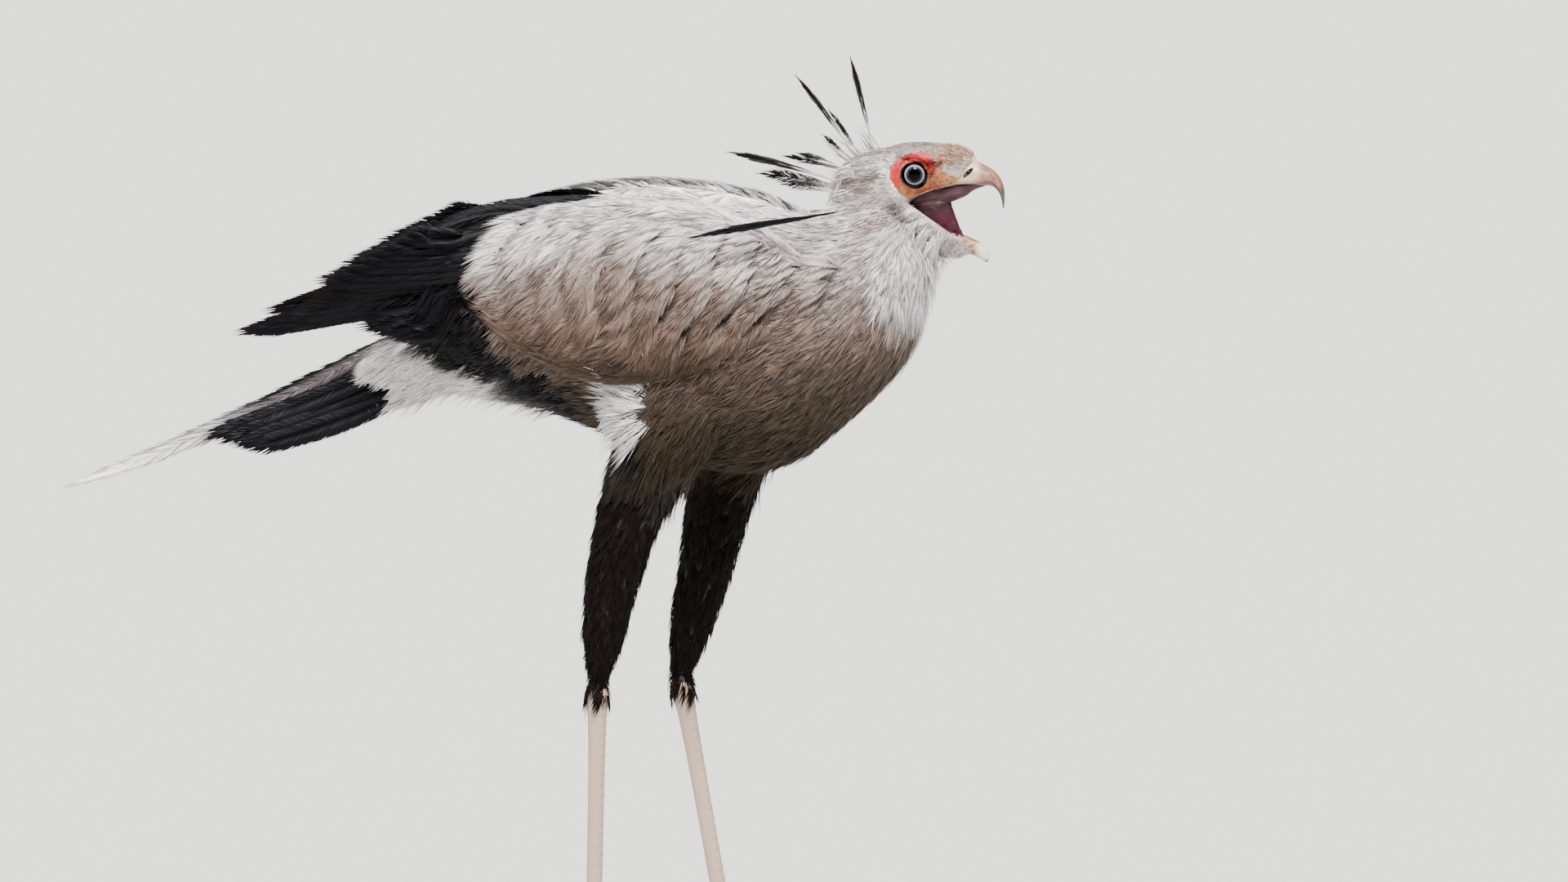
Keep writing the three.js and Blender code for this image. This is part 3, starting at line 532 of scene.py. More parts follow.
def inside(x, z, outline):
    """Which places, seen from the side, lie inside a closed outline."""
    within = np.zeros(x.shape, dtype=bool)
    for (x0, z0), (x1, z1) in zip(outline, outline[1:] + outline[:1]):
        if z0 == z1:
            continue
        crosses = (z0 > z) != (z1 > z)
        within ^= crosses & (x < x0 + (z - z0) * (x1 - x0) / (z1 - z0))
    return within


def from_outline(x, z, outline):
    """How far places, seen from the side, lie from a line of corners."""
    nearest = np.full(x.shape, np.inf)
    for (x0, z0), (x1, z1) in zip(outline, outline[1:]):
        run = ((x - x0) * (x1 - x0) + (z - z0) * (z1 - z0)) / ((x1 - x0) ** 2 + (z1 - z0) ** 2)
        run = np.clip(run, 0, 1)
        nearest = np.minimum(nearest, np.hypot(x - mix(x0, x1, run), z - mix(z0, z1, run)))
    return nearest


FACE = [
    (162.6, 745.5), (168.7, 754.4), (180, 759.8), (190.8, 761.5), (200.8, 759), (206.8, 753.4), (211, 745.5),
    (217, 740.5), (227, 739.5), (230, 729), (218, 727), (208, 725), (200, 723.5), (191, 721), (181, 713),
    (176.5, 717), (170, 724.5), (163.6, 735),
]
RIM = np.array([(182, 716.7), (187, 711), (192, 705.8), (199, 700), (208, 694), (218, 688.6), (231, 679.8)])
UPPER_EDGE = np.array(
    [(176, 716), (182, 717.5), (191, 723.4), (200, 725.4), (208, 727), (218, 729), (232, 730)]
)
FACE_HALF_WIDTH = 9.0
LIP = 2.8
GAPE_X, BILL_X = 181, 231
MOUTH_FLOOR = ((182, 210, 228), (13, 9.5, 5.8))
FLOOR_LOW, FLOOR_HIGH = 684, 716
BARE_LEG_TOP = 296.0


def bare(points):
    """Where the skin carries no feathers: the face, the mouth and the legs."""
    x, y, z = points.T
    face = inside(x, z, FACE) & (np.abs(y) > FACE_HALF_WIDTH)
    mouth = (x > GAPE_X) & (z < np.interp(x, *UPPER_EDGE.T)) & (z > np.interp(x, *RIM.T) - LIP)
    floor = (x > GAPE_X) & (np.abs(y) < np.interp(x, *MOUTH_FLOOR)) & (z > FLOOR_LOW) & (z < FLOOR_HIGH)
    return face | mouth | floor | (z < BARE_LEG_TOP) | (x > BILL_X)


# %% [markdown]
# The bare face of the bird is finely wrinkled, and the folds run in rings round the eye. Sculpting
# them by hand would be hard to repeat, so each point of the skin moves along its own normal by a
# height that depends on its distance from the eye: the lid, two thick folds above it, and wrinkles
# that fade outwards. The eye's socket sinks in, so that the eyeball shows.

# %% Raise the lids and folds
LID_RING, LID_WIDTH, LID_HEIGHT = 10.4, 0.8, 1.5
FOLD_SPACING, FOLD_HEIGHT, FOLD_FADE = 2.5, 0.34, 11
NEAR_FOLD, NEAR_FOLD_WIDTH, NEAR_FOLD_HEIGHT = 12.4, 1.5, 0.9
FAR_FOLD, FAR_FOLD_WIDTH, FAR_FOLD_HEIGHT = 17.5, 2.2, 1.1
SOCKET_DEPTH, SOCKET_EDGE = 3.2, (8.6, 9.8)
PORE_SIZE, PORE_HEIGHT = 1.5, 0.16
GAPE_FOLD, GAPE_FOLD_HEIGHT = 2.2, 0.3
EYE_LEVEL = 725

points, normals = drawn(skin.data), normals_of(skin.data)
x, y, z = points.T
from_eye = np.hypot(x - EYE_AT[0], z - EYE_AT[2])
above = np.sin(np.arctan2(z - EYE_AT[2], x - EYE_AT[0]))
facing = ramp(0.25, 0.6, np.abs(normals[:, 1]))
face = inside(x, z, FACE) * ramp(9, 13, np.abs(y)) * facing

wobble = 0.9 * ripple(points, 9, 3)
past_lid = from_eye - LID_RING
folds = FOLD_HEIGHT * np.cos(2 * np.pi * (past_lid + wobble) / FOLD_SPACING) * np.exp(-past_lid / FOLD_FADE)
height = face * folds * ramp(LID_RING, LID_RING + 1.5, from_eye)
height += facing * LID_HEIGHT * bump(from_eye, LID_RING, LID_WIDTH) * (z > EYE_LEVEL)
height += face * NEAR_FOLD_HEIGHT * bump(from_eye, NEAR_FOLD, NEAR_FOLD_WIDTH) * ramp(-0.1, 0.7, above)
height += face * FAR_FOLD_HEIGHT * bump(from_eye, FAR_FOLD + wobble, FAR_FOLD_WIDTH) * ramp(0.0, 0.6, above)
height -= SOCKET_DEPTH * (1 - ramp(*SOCKET_EDGE, from_eye)) * (np.abs(y) > 15) * (z > EYE_LEVEL)
height += face * PORE_HEIGHT * ripple(points, PORE_SIZE, 5)
from_gape = np.hypot(x - RIM[0, 0], z - RIM[0, 1])
gape_folds = np.cos(2 * np.pi * from_gape / GAPE_FOLD) * bump(from_gape, 5, 4)
height += GAPE_FOLD_HEIGHT * gape_folds * (np.abs(y) > 12)

# %% [markdown]
# A row of broad overlapping plates runs down the front of each bare leg, and a net of small scales
# covers its sides and back. The toes carry small plates on top. A saw-tooth along the leg gives the
# plates their steps, and two crossed waves give the net.

# %% Raise the plates of the legs
PLATE, PLATE_HEIGHT = 8.6, 0.62
NET, NET_HEIGHT = 3.1, 0.14
TOE_PLATE, TOE_PLATE_HEIGHT, TOE_TOP = 4.2, 0.5, 24

shin = (z < BARE_LEG_TOP) & (z > TOE_TOP)
in_front = ramp(0.1, 0.5, normals[:, 0])
saw = 1 - (z / PLATE) % 1
height += shin * PLATE_HEIGHT * saw**1.5 * in_front
net = np.cos(2 * np.pi * z / NET) * np.cos(2 * np.pi * (x + 1.5 * np.floor(z / NET)) / NET)
height += shin * NET_HEIGHT * net * (1 - in_front)
foot_x = np.where(y > 0, LEGS["left"]["foot"], LEGS["right"]["foot"])
toe_saw = (np.hypot(x - foot_x, np.abs(y) - LEG_OUT) / TOE_PLATE) % 1
height += (z < TOE_TOP) * TOE_PLATE_HEIGHT * toe_saw**1.5 * ramp(0.1, 0.6, normals[:, 2])
points = points + normals * height[:, None]
points[:, 2] = np.maximum(points[:, 2], 0)
skin.data.vertices.foreach_set("co", in_frame(points).ravel())
skin.data.update()
print("relief from", round(height.min(), 2), "to", round(height.max(), 2), "mm")

# %% [markdown]
# ## Markings
# Skin and feathers carry the same markings, so one function gives the colour at any place. It works
# as a painter would. First comes a colour by height over the whole body, white along the back and
# olive under the belly: the bird's own colour, with painted shade darkening the underside. Then wing,
# rear, thighs, neck and head get their own areas over it, each a band or an oval with a soft edge, a
# few of them painted shade and shadow.

# %% The palette
PALETTE = {
    "white": srgb(250, 247, 244), "cream": srgb(236, 226, 216), "lilac": srgb(190, 175, 182),
    "pale": srgb(214, 204, 202), "taupe": srgb(160, 142, 136), "brown": srgb(124, 102, 91),
    # The olive of the belly is its own dark brown, deepened by painted shade with a greenish cast.
    "umber": srgb(86, 70, 59), "olive_belly_shade": srgb(58, 49, 35), "grey": srgb(150, 140, 134),
    "buff": srgb(172, 132, 108), "soot": srgb(19, 16, 18), "black": srgb(3, 5, 12),
    "dark brown": srgb(24, 15, 12), "orange": srgb(158, 74, 38), "yellow": srgb(206, 152, 98),
    "red": srgb(170, 16, 30), "rim": srgb(208, 172, 138), "mouth": srgb(62, 20, 36),
    "palate": srgb(92, 62, 68), "leg": srgb(172, 148, 132),
}

# %% The markings
# The colour by height: the bird's own pale back and dark belly, with painted shade darkening the underside.
BODY_TONES_WITH_UNDER_SHADE = {"olive_belly_shade": 515, "umber": 575, "brown": 612, "taupe": 642, "pale": 668, "white": 700}
SHAKE, SHAKE_SIZE, SPOT_SIZE = 5, 26, 12
WING_EDGE_BELOW = ((-270, -120), (600, 556))
COVERT_END = ((570, 590, 650, 685), (-150, -176, -201, -183))


def oval(x, z, centre, radii):
    """The share of an oval area with a soft edge."""
    away = np.hypot((x - centre[0]) / radii[0], (z - centre[1]) / radii[1])
    return ramp(1.3, 0.7, away)


def markings(points):
    """The colour of the plumage at these places."""
    shake = np.stack([ripple(points, SHAKE_SIZE, seed) for seed in (11, 12)], 1)
    x, z = (points[:, (0, 2)] + SHAKE * shake).T
    shades = np.array([PALETTE[shade] for shade in BODY_TONES_WITH_UNDER_SHADE])
    colour = np.stack([np.interp(z, list(BODY_TONES_WITH_UNDER_SHADE.values()), shade) for shade in shades.T], 1)

    def lay(shade, share):
        colour[:] = mix(colour, PALETTE[shade], np.clip(share, 0, 1)[:, None])

    # The shoulder and the wing: a shaded hollow, a painted shadow under the scapulars, a darker middle, a
    # pale rear edge, black beyond it.
    lay("lilac", 0.8 * oval(x, z, (76, 686), (44, 13)))
    # Painted shadow under the scapulars.
    lay("brown", 0.6 * oval(x, z, (-66, 670), (30, 18)))
    lay("brown", 0.65 * oval(x, z, (-60, 642), (85, 26)))
    lay("white", 0.8 * ramp(-150, -178, x) * ramp(640, 660, z))
    under_wing = np.interp(x, *WING_EDGE_BELOW) - z
    lay("black", ramp(4, -6, x - np.interp(z, *COVERT_END)) * ramp(8, -4, under_wing))

    # The rear under the wing: black just under the wing as the wing's painted shadow, grey at the vent, and
    # white under the tail.
    # Black under the wing's lower edge: painted shadow of the wing.
    lay("black", ramp(-95, -112, x) * ramp(-8, 2, under_wing))
    lay("grey", 0.7 * ramp(-125, -150, x) * ramp(18, 32, under_wing))
    lay("white", ramp(-165, -200, x) * ramp(6, 16, under_wing))
    lay("soot", ramp(-298, -314, x) * ramp(548, 560, z))

    # The thighs are dark, and darkest at their rear.
    lay("dark brown", ramp(486, 464, z))
    lay("soot", ramp(-30, -52, x) * ramp(-112, -96, x) * bump(z, 496, 16))

    # The neck is pale, with lilac at its side and a white bib down its front.
    lay("pale", ramp(108, 132, x) * ramp(640, 664, z))
    lay("lilac", 0.7 * oval(x, z, (138, 660), (18, 16)))
    lay("white", ramp(158, 186, x) * ramp(592, 624, z) * ramp(690, 668, z))

    # The head: a band from the eye to the nape, the cheek, the crown, the forehead, ear and chin.
    lay("brown", 0.8 * oval(x, z, (137, 733), (24, 10)))
    lay("cream", 0.8 * oval(x, z, (154, 729), (9, 6)))
    lay("taupe", ramp(126, 140, x) * ramp(750, 762, z))
    lay("brown", 0.6 * oval(x, z, (184, 763), (12, 5)))
    lay("buff", ramp(198, 212, x) * ramp(744, 754, z))
    lay("taupe", 0.8 * oval(x, z, (167, 710), (13, 5)))
    lay("brown", 0.7 * oval(x, z, (166, 692), (24, 6)))
    lay("taupe", 0.7 * oval(x, z, (216, 674), (20, 6)))

    spots = ramp(0.25, 0.6, ripple(points, SPOT_SIZE, 61)) * ramp(-110, -140, x) * ramp(-312, -280, x)
    return mix(colour, PALETTE["black"], (spots * ramp(16, 6, np.abs(under_wing)))[:, None])


# %% [markdown]
# The bare skin is painted in thin layers, as a model painter would do it: orange first, then mottled
# brown and yellow, the red arch behind and over the eye, the dark lines of the lid, and the pale rims
# and dark lining of the mouth. The colours sit on the points of the skin, so no picture is needed.

# %% Paint the skin
def skin_paint(points, normals):
    """The colour of the skin: its own where it is bare, and the plumage's elsewhere."""
    x, y, z = points.T
    colour = markings(points)

    def lay(shade, share):
        colour[:] = mix(colour, PALETTE[shade], np.clip(share, 0, 1)[:, None])

    away = np.hypot(x - EYE_AT[0], z - EYE_AT[2])
    angle = np.degrees(np.arctan2(z - EYE_AT[2], x - EYE_AT[0])) % 360
    face = inside(x, z, FACE) * ramp(7, 10, np.abs(y))
    lay("orange", face)
    lay("umber", face * 0.65 * ramp(-0.1, 0.7, ripple(points, 2.4, 51)))
    lay("yellow", face * 0.3 * ramp(0.0, 0.8, ripple(points, 5, 52)))
    lay("yellow", face * ramp(190, 222, x) * ramp(746, 731, z) * 0.9)
    lay("yellow", face * ramp(724, 719, z) * 0.6)
    arch = bump(away, 15.8 + ripple(points, 8, 8), 4.6) * ramp(2, 22, angle) * (1 - ramp(205, 235, angle))
    lay("red", face * arch * (1.1 + 0.2 * ripple(points, 3, 53)))
    lay("dark brown", face * 0.4 * ramp(0.35, 0.9, ripple(points, 1.8, 54)) * bump(away, 14, 4))
    from_front = (angle + 180) % 360 - 180
    lashes = bump(away, 15.5, 3) * ramp(-25, -5, from_front) * ramp(52, 34, from_front)
    lay("dark brown", face * 0.7 * lashes * ramp(-0.2, 0.5, ripple(points, 2.2, 55)))
    lay("dark brown", face * 0.75 * bump(away, 14.2, 0.55) * ramp(0, 20, angle) * (1 - ramp(150, 190, angle)))
    lay("dark brown", (away < 11.0) * (np.abs(y) > 14) * (z > 722))
    lay("leg", z < BARE_LEG_TOP + 2)
    upper, lower = np.interp(x, *UPPER_EDGE.T), np.interp(x, *RIM.T)
    outward = np.sign(y) * normals[:, 1]
    lay("rim", (x > 176) * (np.abs(z - lower + 1.2) < 2.4) * (outward > 0.1) * (z < 722))
    lay("rim", (x > 183) * (np.abs(z - upper - 0.4) < 1.2) * (outward > 0.1) * 0.8)
    under_bill = (normals[:, 2] < -0.3) & (np.abs(y) < 9) & (z < upper + 9)
    roof = (x > 180) & (z > 706) & ((z < upper - 0.4) | under_bill)
    throat = (x > 178) & (z < upper) & (z > 682) & ((normals[:, 2] > 0.25) | (outward < -0.05))
    lay("palate", roof * (z > lower + 2) * 0.9)
    lay("mouth", throat * ramp(15, 13, np.abs(y)) * (z < lower + 9))
    return colour


def tint(mesh, colours):
    """Gives each point of a mesh its colour."""
    layer = mesh.color_attributes.new("tint", "FLOAT_COLOR", "POINT")
    layer.data.foreach_set("color", np.column_stack([colours, np.ones(len(colours))]).ravel())


points, normals = drawn(skin.data), normals_of(skin.data)
tint(skin.data, skin_paint(points, normals))
print("skin painted:", len(points), "points")

# %% [markdown]
# ## An unwrap of the skin
# Every feather will take its bake patch from the place of its root on the skin's own unwrap, so the
# skin is unwrapped first. Smart UV Project cuts it into islands by the way its faces look.

# %% Unwrap
ISLAND_ANGLE, ISLAND_MARGIN = 1.15, 0.001

bpy.context.view_layer.objects.active = skin
skin.select_set(True)
bpy.ops.object.mode_set(mode="EDIT")
bpy.ops.mesh.select_all(action="SELECT")
bpy.ops.uv.smart_project(angle_limit=ISLAND_ANGLE, island_margin=ISLAND_MARGIN)
bpy.ops.object.mode_set(mode="OBJECT")
skin.data.uv_layers[0].name = "OFBake"

skin.data.calc_loop_triangles()
count = len(skin.data.loop_triangles)
corners, loops = np.empty(3 * count, dtype=int), np.empty(3 * count, dtype=int)
skin.data.loop_triangles.foreach_get("vertices", corners)
skin.data.loop_triangles.foreach_get("loops", loops)
places = np.empty(2 * len(skin.data.loops))
skin.data.uv_layers["OFBake"].data.foreach_get("uv", places)
corners, places = corners.reshape(-1, 3), places.reshape(-1, 2)[loops.reshape(-1, 3)]
triangles = points[corners]
first_side, second_side = triangles[:, 1] - triangles[:, 0], triangles[:, 2] - triangles[:, 0]
areas = np.linalg.norm(np.cross(first_side, second_side), axis=1) / 2
centres = triangles.mean(1)
print("skin area:", round(areas.sum() / 1e6, 3), "square metres")

# %% [markdown]
# A feather has to know which part it grows on. The nearest point of the tubes that the skin was
# poured from tells it.

# %% Name every place of the skin
label_names = list(body_tubes) + ["head"]
label_points = [shape[0] for shape in body_tubes.values()]
label_points += [tube(profile(HEAD, 60), 48)[0], tube(profile(JAW, 40), 32)[0]]
label_of = np.concatenate([np.full(len(p), min(i, len(body_tubes))) for i, p in enumerate(label_points)])
nearest_label = KDTree(len(label_of))
for index, point in enumerate(np.concatenate(label_points)):
    nearest_label.insert(point, index)
nearest_label.balance()
part_of = np.array([label_of[nearest_label.find(point)[1]] for point in centres])
covered = ~bare(centres)
tree = BVHTree.FromPolygons(points.tolist(), corners.tolist())
print({name: int((part_of == i).sum()) for i, name in enumerate(label_names)})


def on(*names):
    """Which triangles of the skin belong to parts whose names start so, and carry feathers."""
    wanted = [i for i, label in enumerate(label_names) if label.startswith(names)]
    return np.isin(part_of, wanted) & covered


# %% [markdown]
# ## How a feather is made
# A real feather is a shaft with barbs on both sides, and loose ones hang together in wisps. Hair
# particles or flat cards would be quick, but they are no solid. Here each wisp of barbs is a thin
# closed spike with a triangular section, which leaves the shaft and bends back to the outline of
# the feather. Many narrow spikes make a soft feather, and many close ones a firm vane. All feathers
# of a piece are worked out together as one array.

# %% Points along many lines, and spikes
def along(lines, share):
    """Points at these shares of each line."""
    at = np.clip(share, 0, 1) * (lines.shape[1] - 1)
    first = np.minimum(at.astype(int), lines.shape[1] - 2)
    start = np.take_along_axis(lines, first[..., None], 1)
    end = np.take_along_axis(lines, first[..., None] + 1, 1)
    return mix(start, end, (at - first)[..., None])


RING = 3
SPIKE_FACES = np.array(
    [(0, 2, 1)]
    + [(i, (i + 1) % RING, RING + (i + 1) % RING) for i in range(RING)]
    + [(i, RING + (i + 1) % RING, RING + i) for i in range(RING)]
    + [(RING + i, RING + (i + 1) % RING, 2 * RING) for i in range(RING)]
)
PATCH_SIZE = 0.003


def spikes(root, middle, tip, face, half, thick):
    """Closed spikes from root to tip: seven points each."""
    rings = []
    for here, ahead, wide, deep in ((root, middle - root, 0.6, 1.0), (middle, tip - root, 1.0, 0.8)):
        run = unit(ahead)
        across = unit(np.cross(face, run))
        above = np.cross(run, across)
        side = across * (half * wide)[..., None]
        rings += [here + side, here - side, here + above * (thick * deep)[..., None]]
    return np.stack([*rings, tip], -2)


# %% [markdown]
# A feather starts from a line of stations, the way its upper side looks, and its half width. Its
# wisps leave the line at even shares, a little shaken, and end on the outline of the kind. The lean
# says how far along the shaft a wisp reaches, and the fray how ragged the rim is. Whatever comes out
# also says how far along and across the feather each point lies, which is what paints it later.

# %% Feathers from lines
OUTLINES = {
    "flight": ((0, 0.5), (0.12, 0.75), (0.45, 1), (0.88, 0.84), (1, 0.2)),
    "covert": ((0, 0.4), (0.36, 1), (0.82, 0.95), (1, 0.35)),
    "plume": ((0, 0.15), (0.25, 0.2), (0.5, 0.75), (0.75, 1), (1, 0.05)),
    "long": ((0, 0.6), (0.3, 1), (0.6, 0.9), (0.85, 0.55), (1, 0.1)),
    "lock": ((0, 0.3), (0.35, 1), (0.75, 0.7), (1, 0.1)),
}


def feathers(lines, faces, wide, outline, lobes, lean, fray, seed, barb=1.0, thick=0.3, cup=0.08):
    """The spikes of many feathers, with how far along and across each point lies."""
    draw = np.random.default_rng(seed)
    count = len(lines)
    starts = np.concatenate([np.linspace(0, 1 - lean, lobes)] * 2 + [[1 - lean]])
    sides = np.concatenate([np.ones(lobes), -np.ones(lobes), [0.0]])
    spikes_each = len(starts)
    start = starts + draw.uniform(-0.4, 0.4, (count, spikes_each)) * (1 - lean) / max(lobes, 1)
    start = np.clip(start, 0, 1)
    end = start + lean * (1 + fray * draw.uniform(-0.6, 0.5, start.shape))
    end = np.minimum(end, 1 + 0.12 * fray)
    shape = np.array(OUTLINES[outline])
    reach = np.interp(end, *shape.T) * (1 + fray * draw.uniform(-0.5, 0.25, end.shape))
    reach = reach * sides + 0.12 * fray * draw.normal(size=end.shape)
    halfway = mix(start, end, 0.5)
    bend = reach * 0.62

    across = unit(np.cross(faces, np.gradient(lines, axis=1)))
    wide = wide[:, None, None]

    def place(share, out):
        sag = -cup * out[..., None] ** 2 * wide
        beyond = (share - np.clip(share, 0, 1))[..., None] * (lines[:, -1:] - lines[:, -2:-1])
        over = along(lines, share) + beyond
        return over + along(across, share) * out[..., None] * wide + along(faces, share) * sag

    face = unit(along(faces, halfway) + 0.12 * draw.normal(size=(*halfway.shape, 3)))
    root, middle, tip = place(start, 0 * reach), place(halfway, bend), place(end, reach)
    shingle = 0.5 * thick * draw.uniform(0, 1, start.shape)[..., None]
    middle = middle + face * shingle
    half = np.interp(halfway, *shape.T).clip(0.6) * draw.uniform(0.75, 1.2, start.shape)
    half *= np.broadcast_to(barb, count)[:, None]
    verts = spikes(root, middle, tip, face, half, np.full(start.shape, thick))
    shares = np.stack([start] * 3 + [halfway] * 3 + [end], -1)
    outs = np.stack([0 * reach] * 3 + [bend] * 3 + [reach], -1)
    return verts, shares, outs


def shafts(lines, faces, thick):
    """A tapered shaft along each line, as spikes laid end to end."""
    pieces = []
    last = lines.shape[1] - 1
    for k in range(last):
        root, tip = lines[:, k], lines[:, min(k + 2, last)]
        half = np.full(len(lines), thick * (1 - 0.7 * k / last))
        pieces.append(spikes(root, lines[:, k + 1], tip + (tip - root) * 0.02, faces[:, k], half, half))
    verts = np.stack(pieces, 1)
    shares = np.broadcast_to(np.linspace(0, 1, last)[None, :, None], verts.shape[:3])
    return verts, shares, 0 * shares


# %% [markdown]
# All spikes of one piece become one mesh, filled in bulk, because adding faces one by one would take
# minutes. The unwrap gives each feather a small patch at its root's place on the skin's own unwrap,
# so that a bake of the piece picks up the colours of the place where it grows.

# %% One mesh of many spikes
coat_triangles = {}


def spike_piece(name, verts, colours, patches):
    """Makes one piece of plumage. Its first axis counts feathers, its second the spikes of each."""
    count = verts.shape[0] * verts.shape[1]
    corner = np.array([(0, 0), (0.5, 0), (1, 0), (0, 0.6), (0.5, 0.6), (1, 0.6), (0.5, 1)]) - 0.5
    order = np.linspace(-0.4, 0.4, verts.shape[1])[None, :, None, None] * (1, 0)
    places = patches[:, None, None] + PATCH_SIZE * (corner * (0.3, 1) + order)
    spike = verts[0, 0]
    volume = sum(np.dot(spike[a], np.cross(spike[b], spike[c])) for a, b, c in SPIKE_FACES)
    faces = SPIKE_FACES if volume > 0 else SPIKE_FACES[:, ::-1]
    index = (np.arange(count)[:, None, None] * spike.shape[0] + faces).reshape(-1)
    mesh = bpy.data.meshes.new(name)
    mesh.vertices.add(count * spike.shape[0])
    mesh.vertices.foreach_set("co", in_frame(verts).ravel())
    mesh.loops.add(len(index))
    mesh.loops.foreach_set("vertex_index", index.astype(np.int32))
    mesh.polygons.add(len(index) // 3)
    mesh.polygons.foreach_set("loop_start", np.arange(0, len(index), 3, dtype=np.int32))
    layer = mesh.uv_layers.new(name="OFBake")
    layer.data.foreach_set("uv", places.reshape(-1, 2)[index].ravel())
    mesh.update(calc_edges=True)
    tint(mesh, colours.reshape(-1, 3))
    thing = bpy.data.objects.new(name, mesh)
    bpy.context.collection.objects.link(thing)
    coat_triangles[name] = len(index) // 3
    print(name, "triangles:", coat_triangles[name])
    return thing


def tones(shares, outs, centre, edge, tip, seed, vary=0.12, edge_from=0.35, tip_from=0.7):
    """Colours along and across each feather, a little different from wisp to wisp."""
    draw = np.random.default_rng(seed)
    shades = [np.asarray(shade) for shade in (centre, edge, tip)]
    centre, edge, tip = (t[..., None, :] if t.ndim == 3 else t[..., None, None, :] for t in shades)
    colour = mix(centre, edge, ramp(edge_from, 1.1, np.abs(outs))[..., None])
    colour = mix(colour, tip, ramp(tip_from, 1.0, shares)[..., None])
    light = 1 + vary * draw.normal(size=(shares.shape[0], 1, 1))
    light = light + 1.1 * vary * draw.normal(size=(*shares.shape[:2], 1))
    return np.clip(colour * np.clip(light, 0.5, 1.6)[..., None], 0, 1)


# %% [markdown]
# ## The lie of the coat
# Small feathers cover the whole body like tiles, and each lies along the stream from the bill to
# the tail. A few guides say which way the stream runs at their place: the x and z of the place, then
# the way. Anywhere else the way is a blend of the guides near by.

# %% Guides for the lie
GUIDES = [
    (228, 760, -0.8, 0.5), (160, 745, -1, 0.0), (185, 770, -1, 0.1), (120, 740, -1, -0.15),
    (150, 705, -0.8, -0.6), (172, 715, -0.7, -0.7), (150, 735, -1, -0.1), (210, 676, -0.75, -0.5),
    (190, 680, -0.2, -1), (192, 640, -0.3, -1), (185, 600, -0.45, -1), (150, 640, -0.85, -0.75),
    (130, 580, -0.9, -0.6), (150, 560, -0.9, -0.35), (100, 700, -1, -0.15), (100, 660, -1, -0.45),
    (80, 600, -1, -0.4), (60, 530, -1, -0.3), (20, 500, -1, -0.45), (0, 700, -1, 0),
    (-100, 715, -1, -0.1), (-180, 690, -1, -0.4), (-150, 690, -0.9, -0.4), (-150, 650, -0.65, -0.75),
    (-100, 620, -0.45, -0.9), (-40, 580, -0.35, -0.95), (30, 600, -0.6, -0.8), (0, 650, -0.75, -0.65),
    (60, 660, -0.85, -0.5), (40, 700, -1, -0.1), (60, 500, -1, -0.2), (0, 560, -0.8, -0.6),
    (0, 520, -0.6, -0.8), (-20, 490, -0.3, -1), (-60, 560, -0.85, 0.2), (-60, 535, -1, -0.1),
    (-60, 505, -0.5, -0.85), (-20, 400, -0.1, -1), (-60, 350, -0.1, -1), (-240, 600, -0.9, -0.45),
    (-300, 560, -0.9, -0.4), (-250, 540, -0.95, -0.2), (-200, 560, -1, -0.1),
]
GUIDE_SOFTNESS, GUIDE_FALL = 150.0, 1.6
guide_places = np.array([guide[:2] for guide in GUIDES], dtype=float)
guide_ways = unit(np.array([guide[2:] for guide in GUIDES], dtype=float))


def stream(places_from_side):
    """The way of the plumage at these places, seen from the side."""
    gaps = ((places_from_side[:, None] - guide_places) ** 2).sum(2)
    return (1 / (gaps + GUIDE_SOFTNESS) ** GUIDE_FALL) @ guide_ways


def lie(place, normal):
    """The way the plumage lies there, along the skin."""
    way = stream(place[:, (0, 2)])
    way = np.stack([way[:, 0], 0 * way[:, 0], way[:, 1]], 1)
    return unit(way - normal * (way * normal).sum(1, keepdims=True))


# %% [markdown]
# A particle system could scatter and comb the coat, but it gives hair, not solid feathers. So the
# roots are drawn at random over the skin, thinned to an even spacing, and each feather is combed: it
# takes short steps over the skin, bending with it, and stands up a little more towards its tip. A
# loose feather leaves the skin, and its weight pulls its end down.

# %% Roots and combing
COMB_STEPS = 5


def scatter(mask, spacing, seed):
    """Roots on the masked triangles, about that far apart: place, normal and patch on the unwrap."""
    draw = np.random.default_rng(seed)
    pick = np.flatnonzero(mask)
    share = areas[pick] / areas[pick].sum()
    chosen = draw.choice(pick, int(2.5 * areas[pick].sum() / spacing**2), p=share)
    u, v = draw.random((2, len(chosen)))
    u, v = np.where(u + v > 1, (1 - u, 1 - v), (u, v))
    weights = np.stack([1 - u - v, u, v], 1)[..., None]
    place = (triangles[chosen] * weights).sum(1)
    _, first = np.unique(np.floor(place / spacing).astype(int), axis=0, return_index=True)
    first.sort()
    normal = unit((normals[corners[chosen]] * weights).sum(1))
    return place[first], normal[first], (places[chosen] * weights).sum(1)[first]


def nearest_on_skin(points):
    """The nearest places of the skin, their normals and their triangles."""
    found = [tree.find_nearest(point) for point in points.tolist()]
    near, normal, index, _ = zip(*found)
    return np.array(near), np.array(normal), np.array(index)


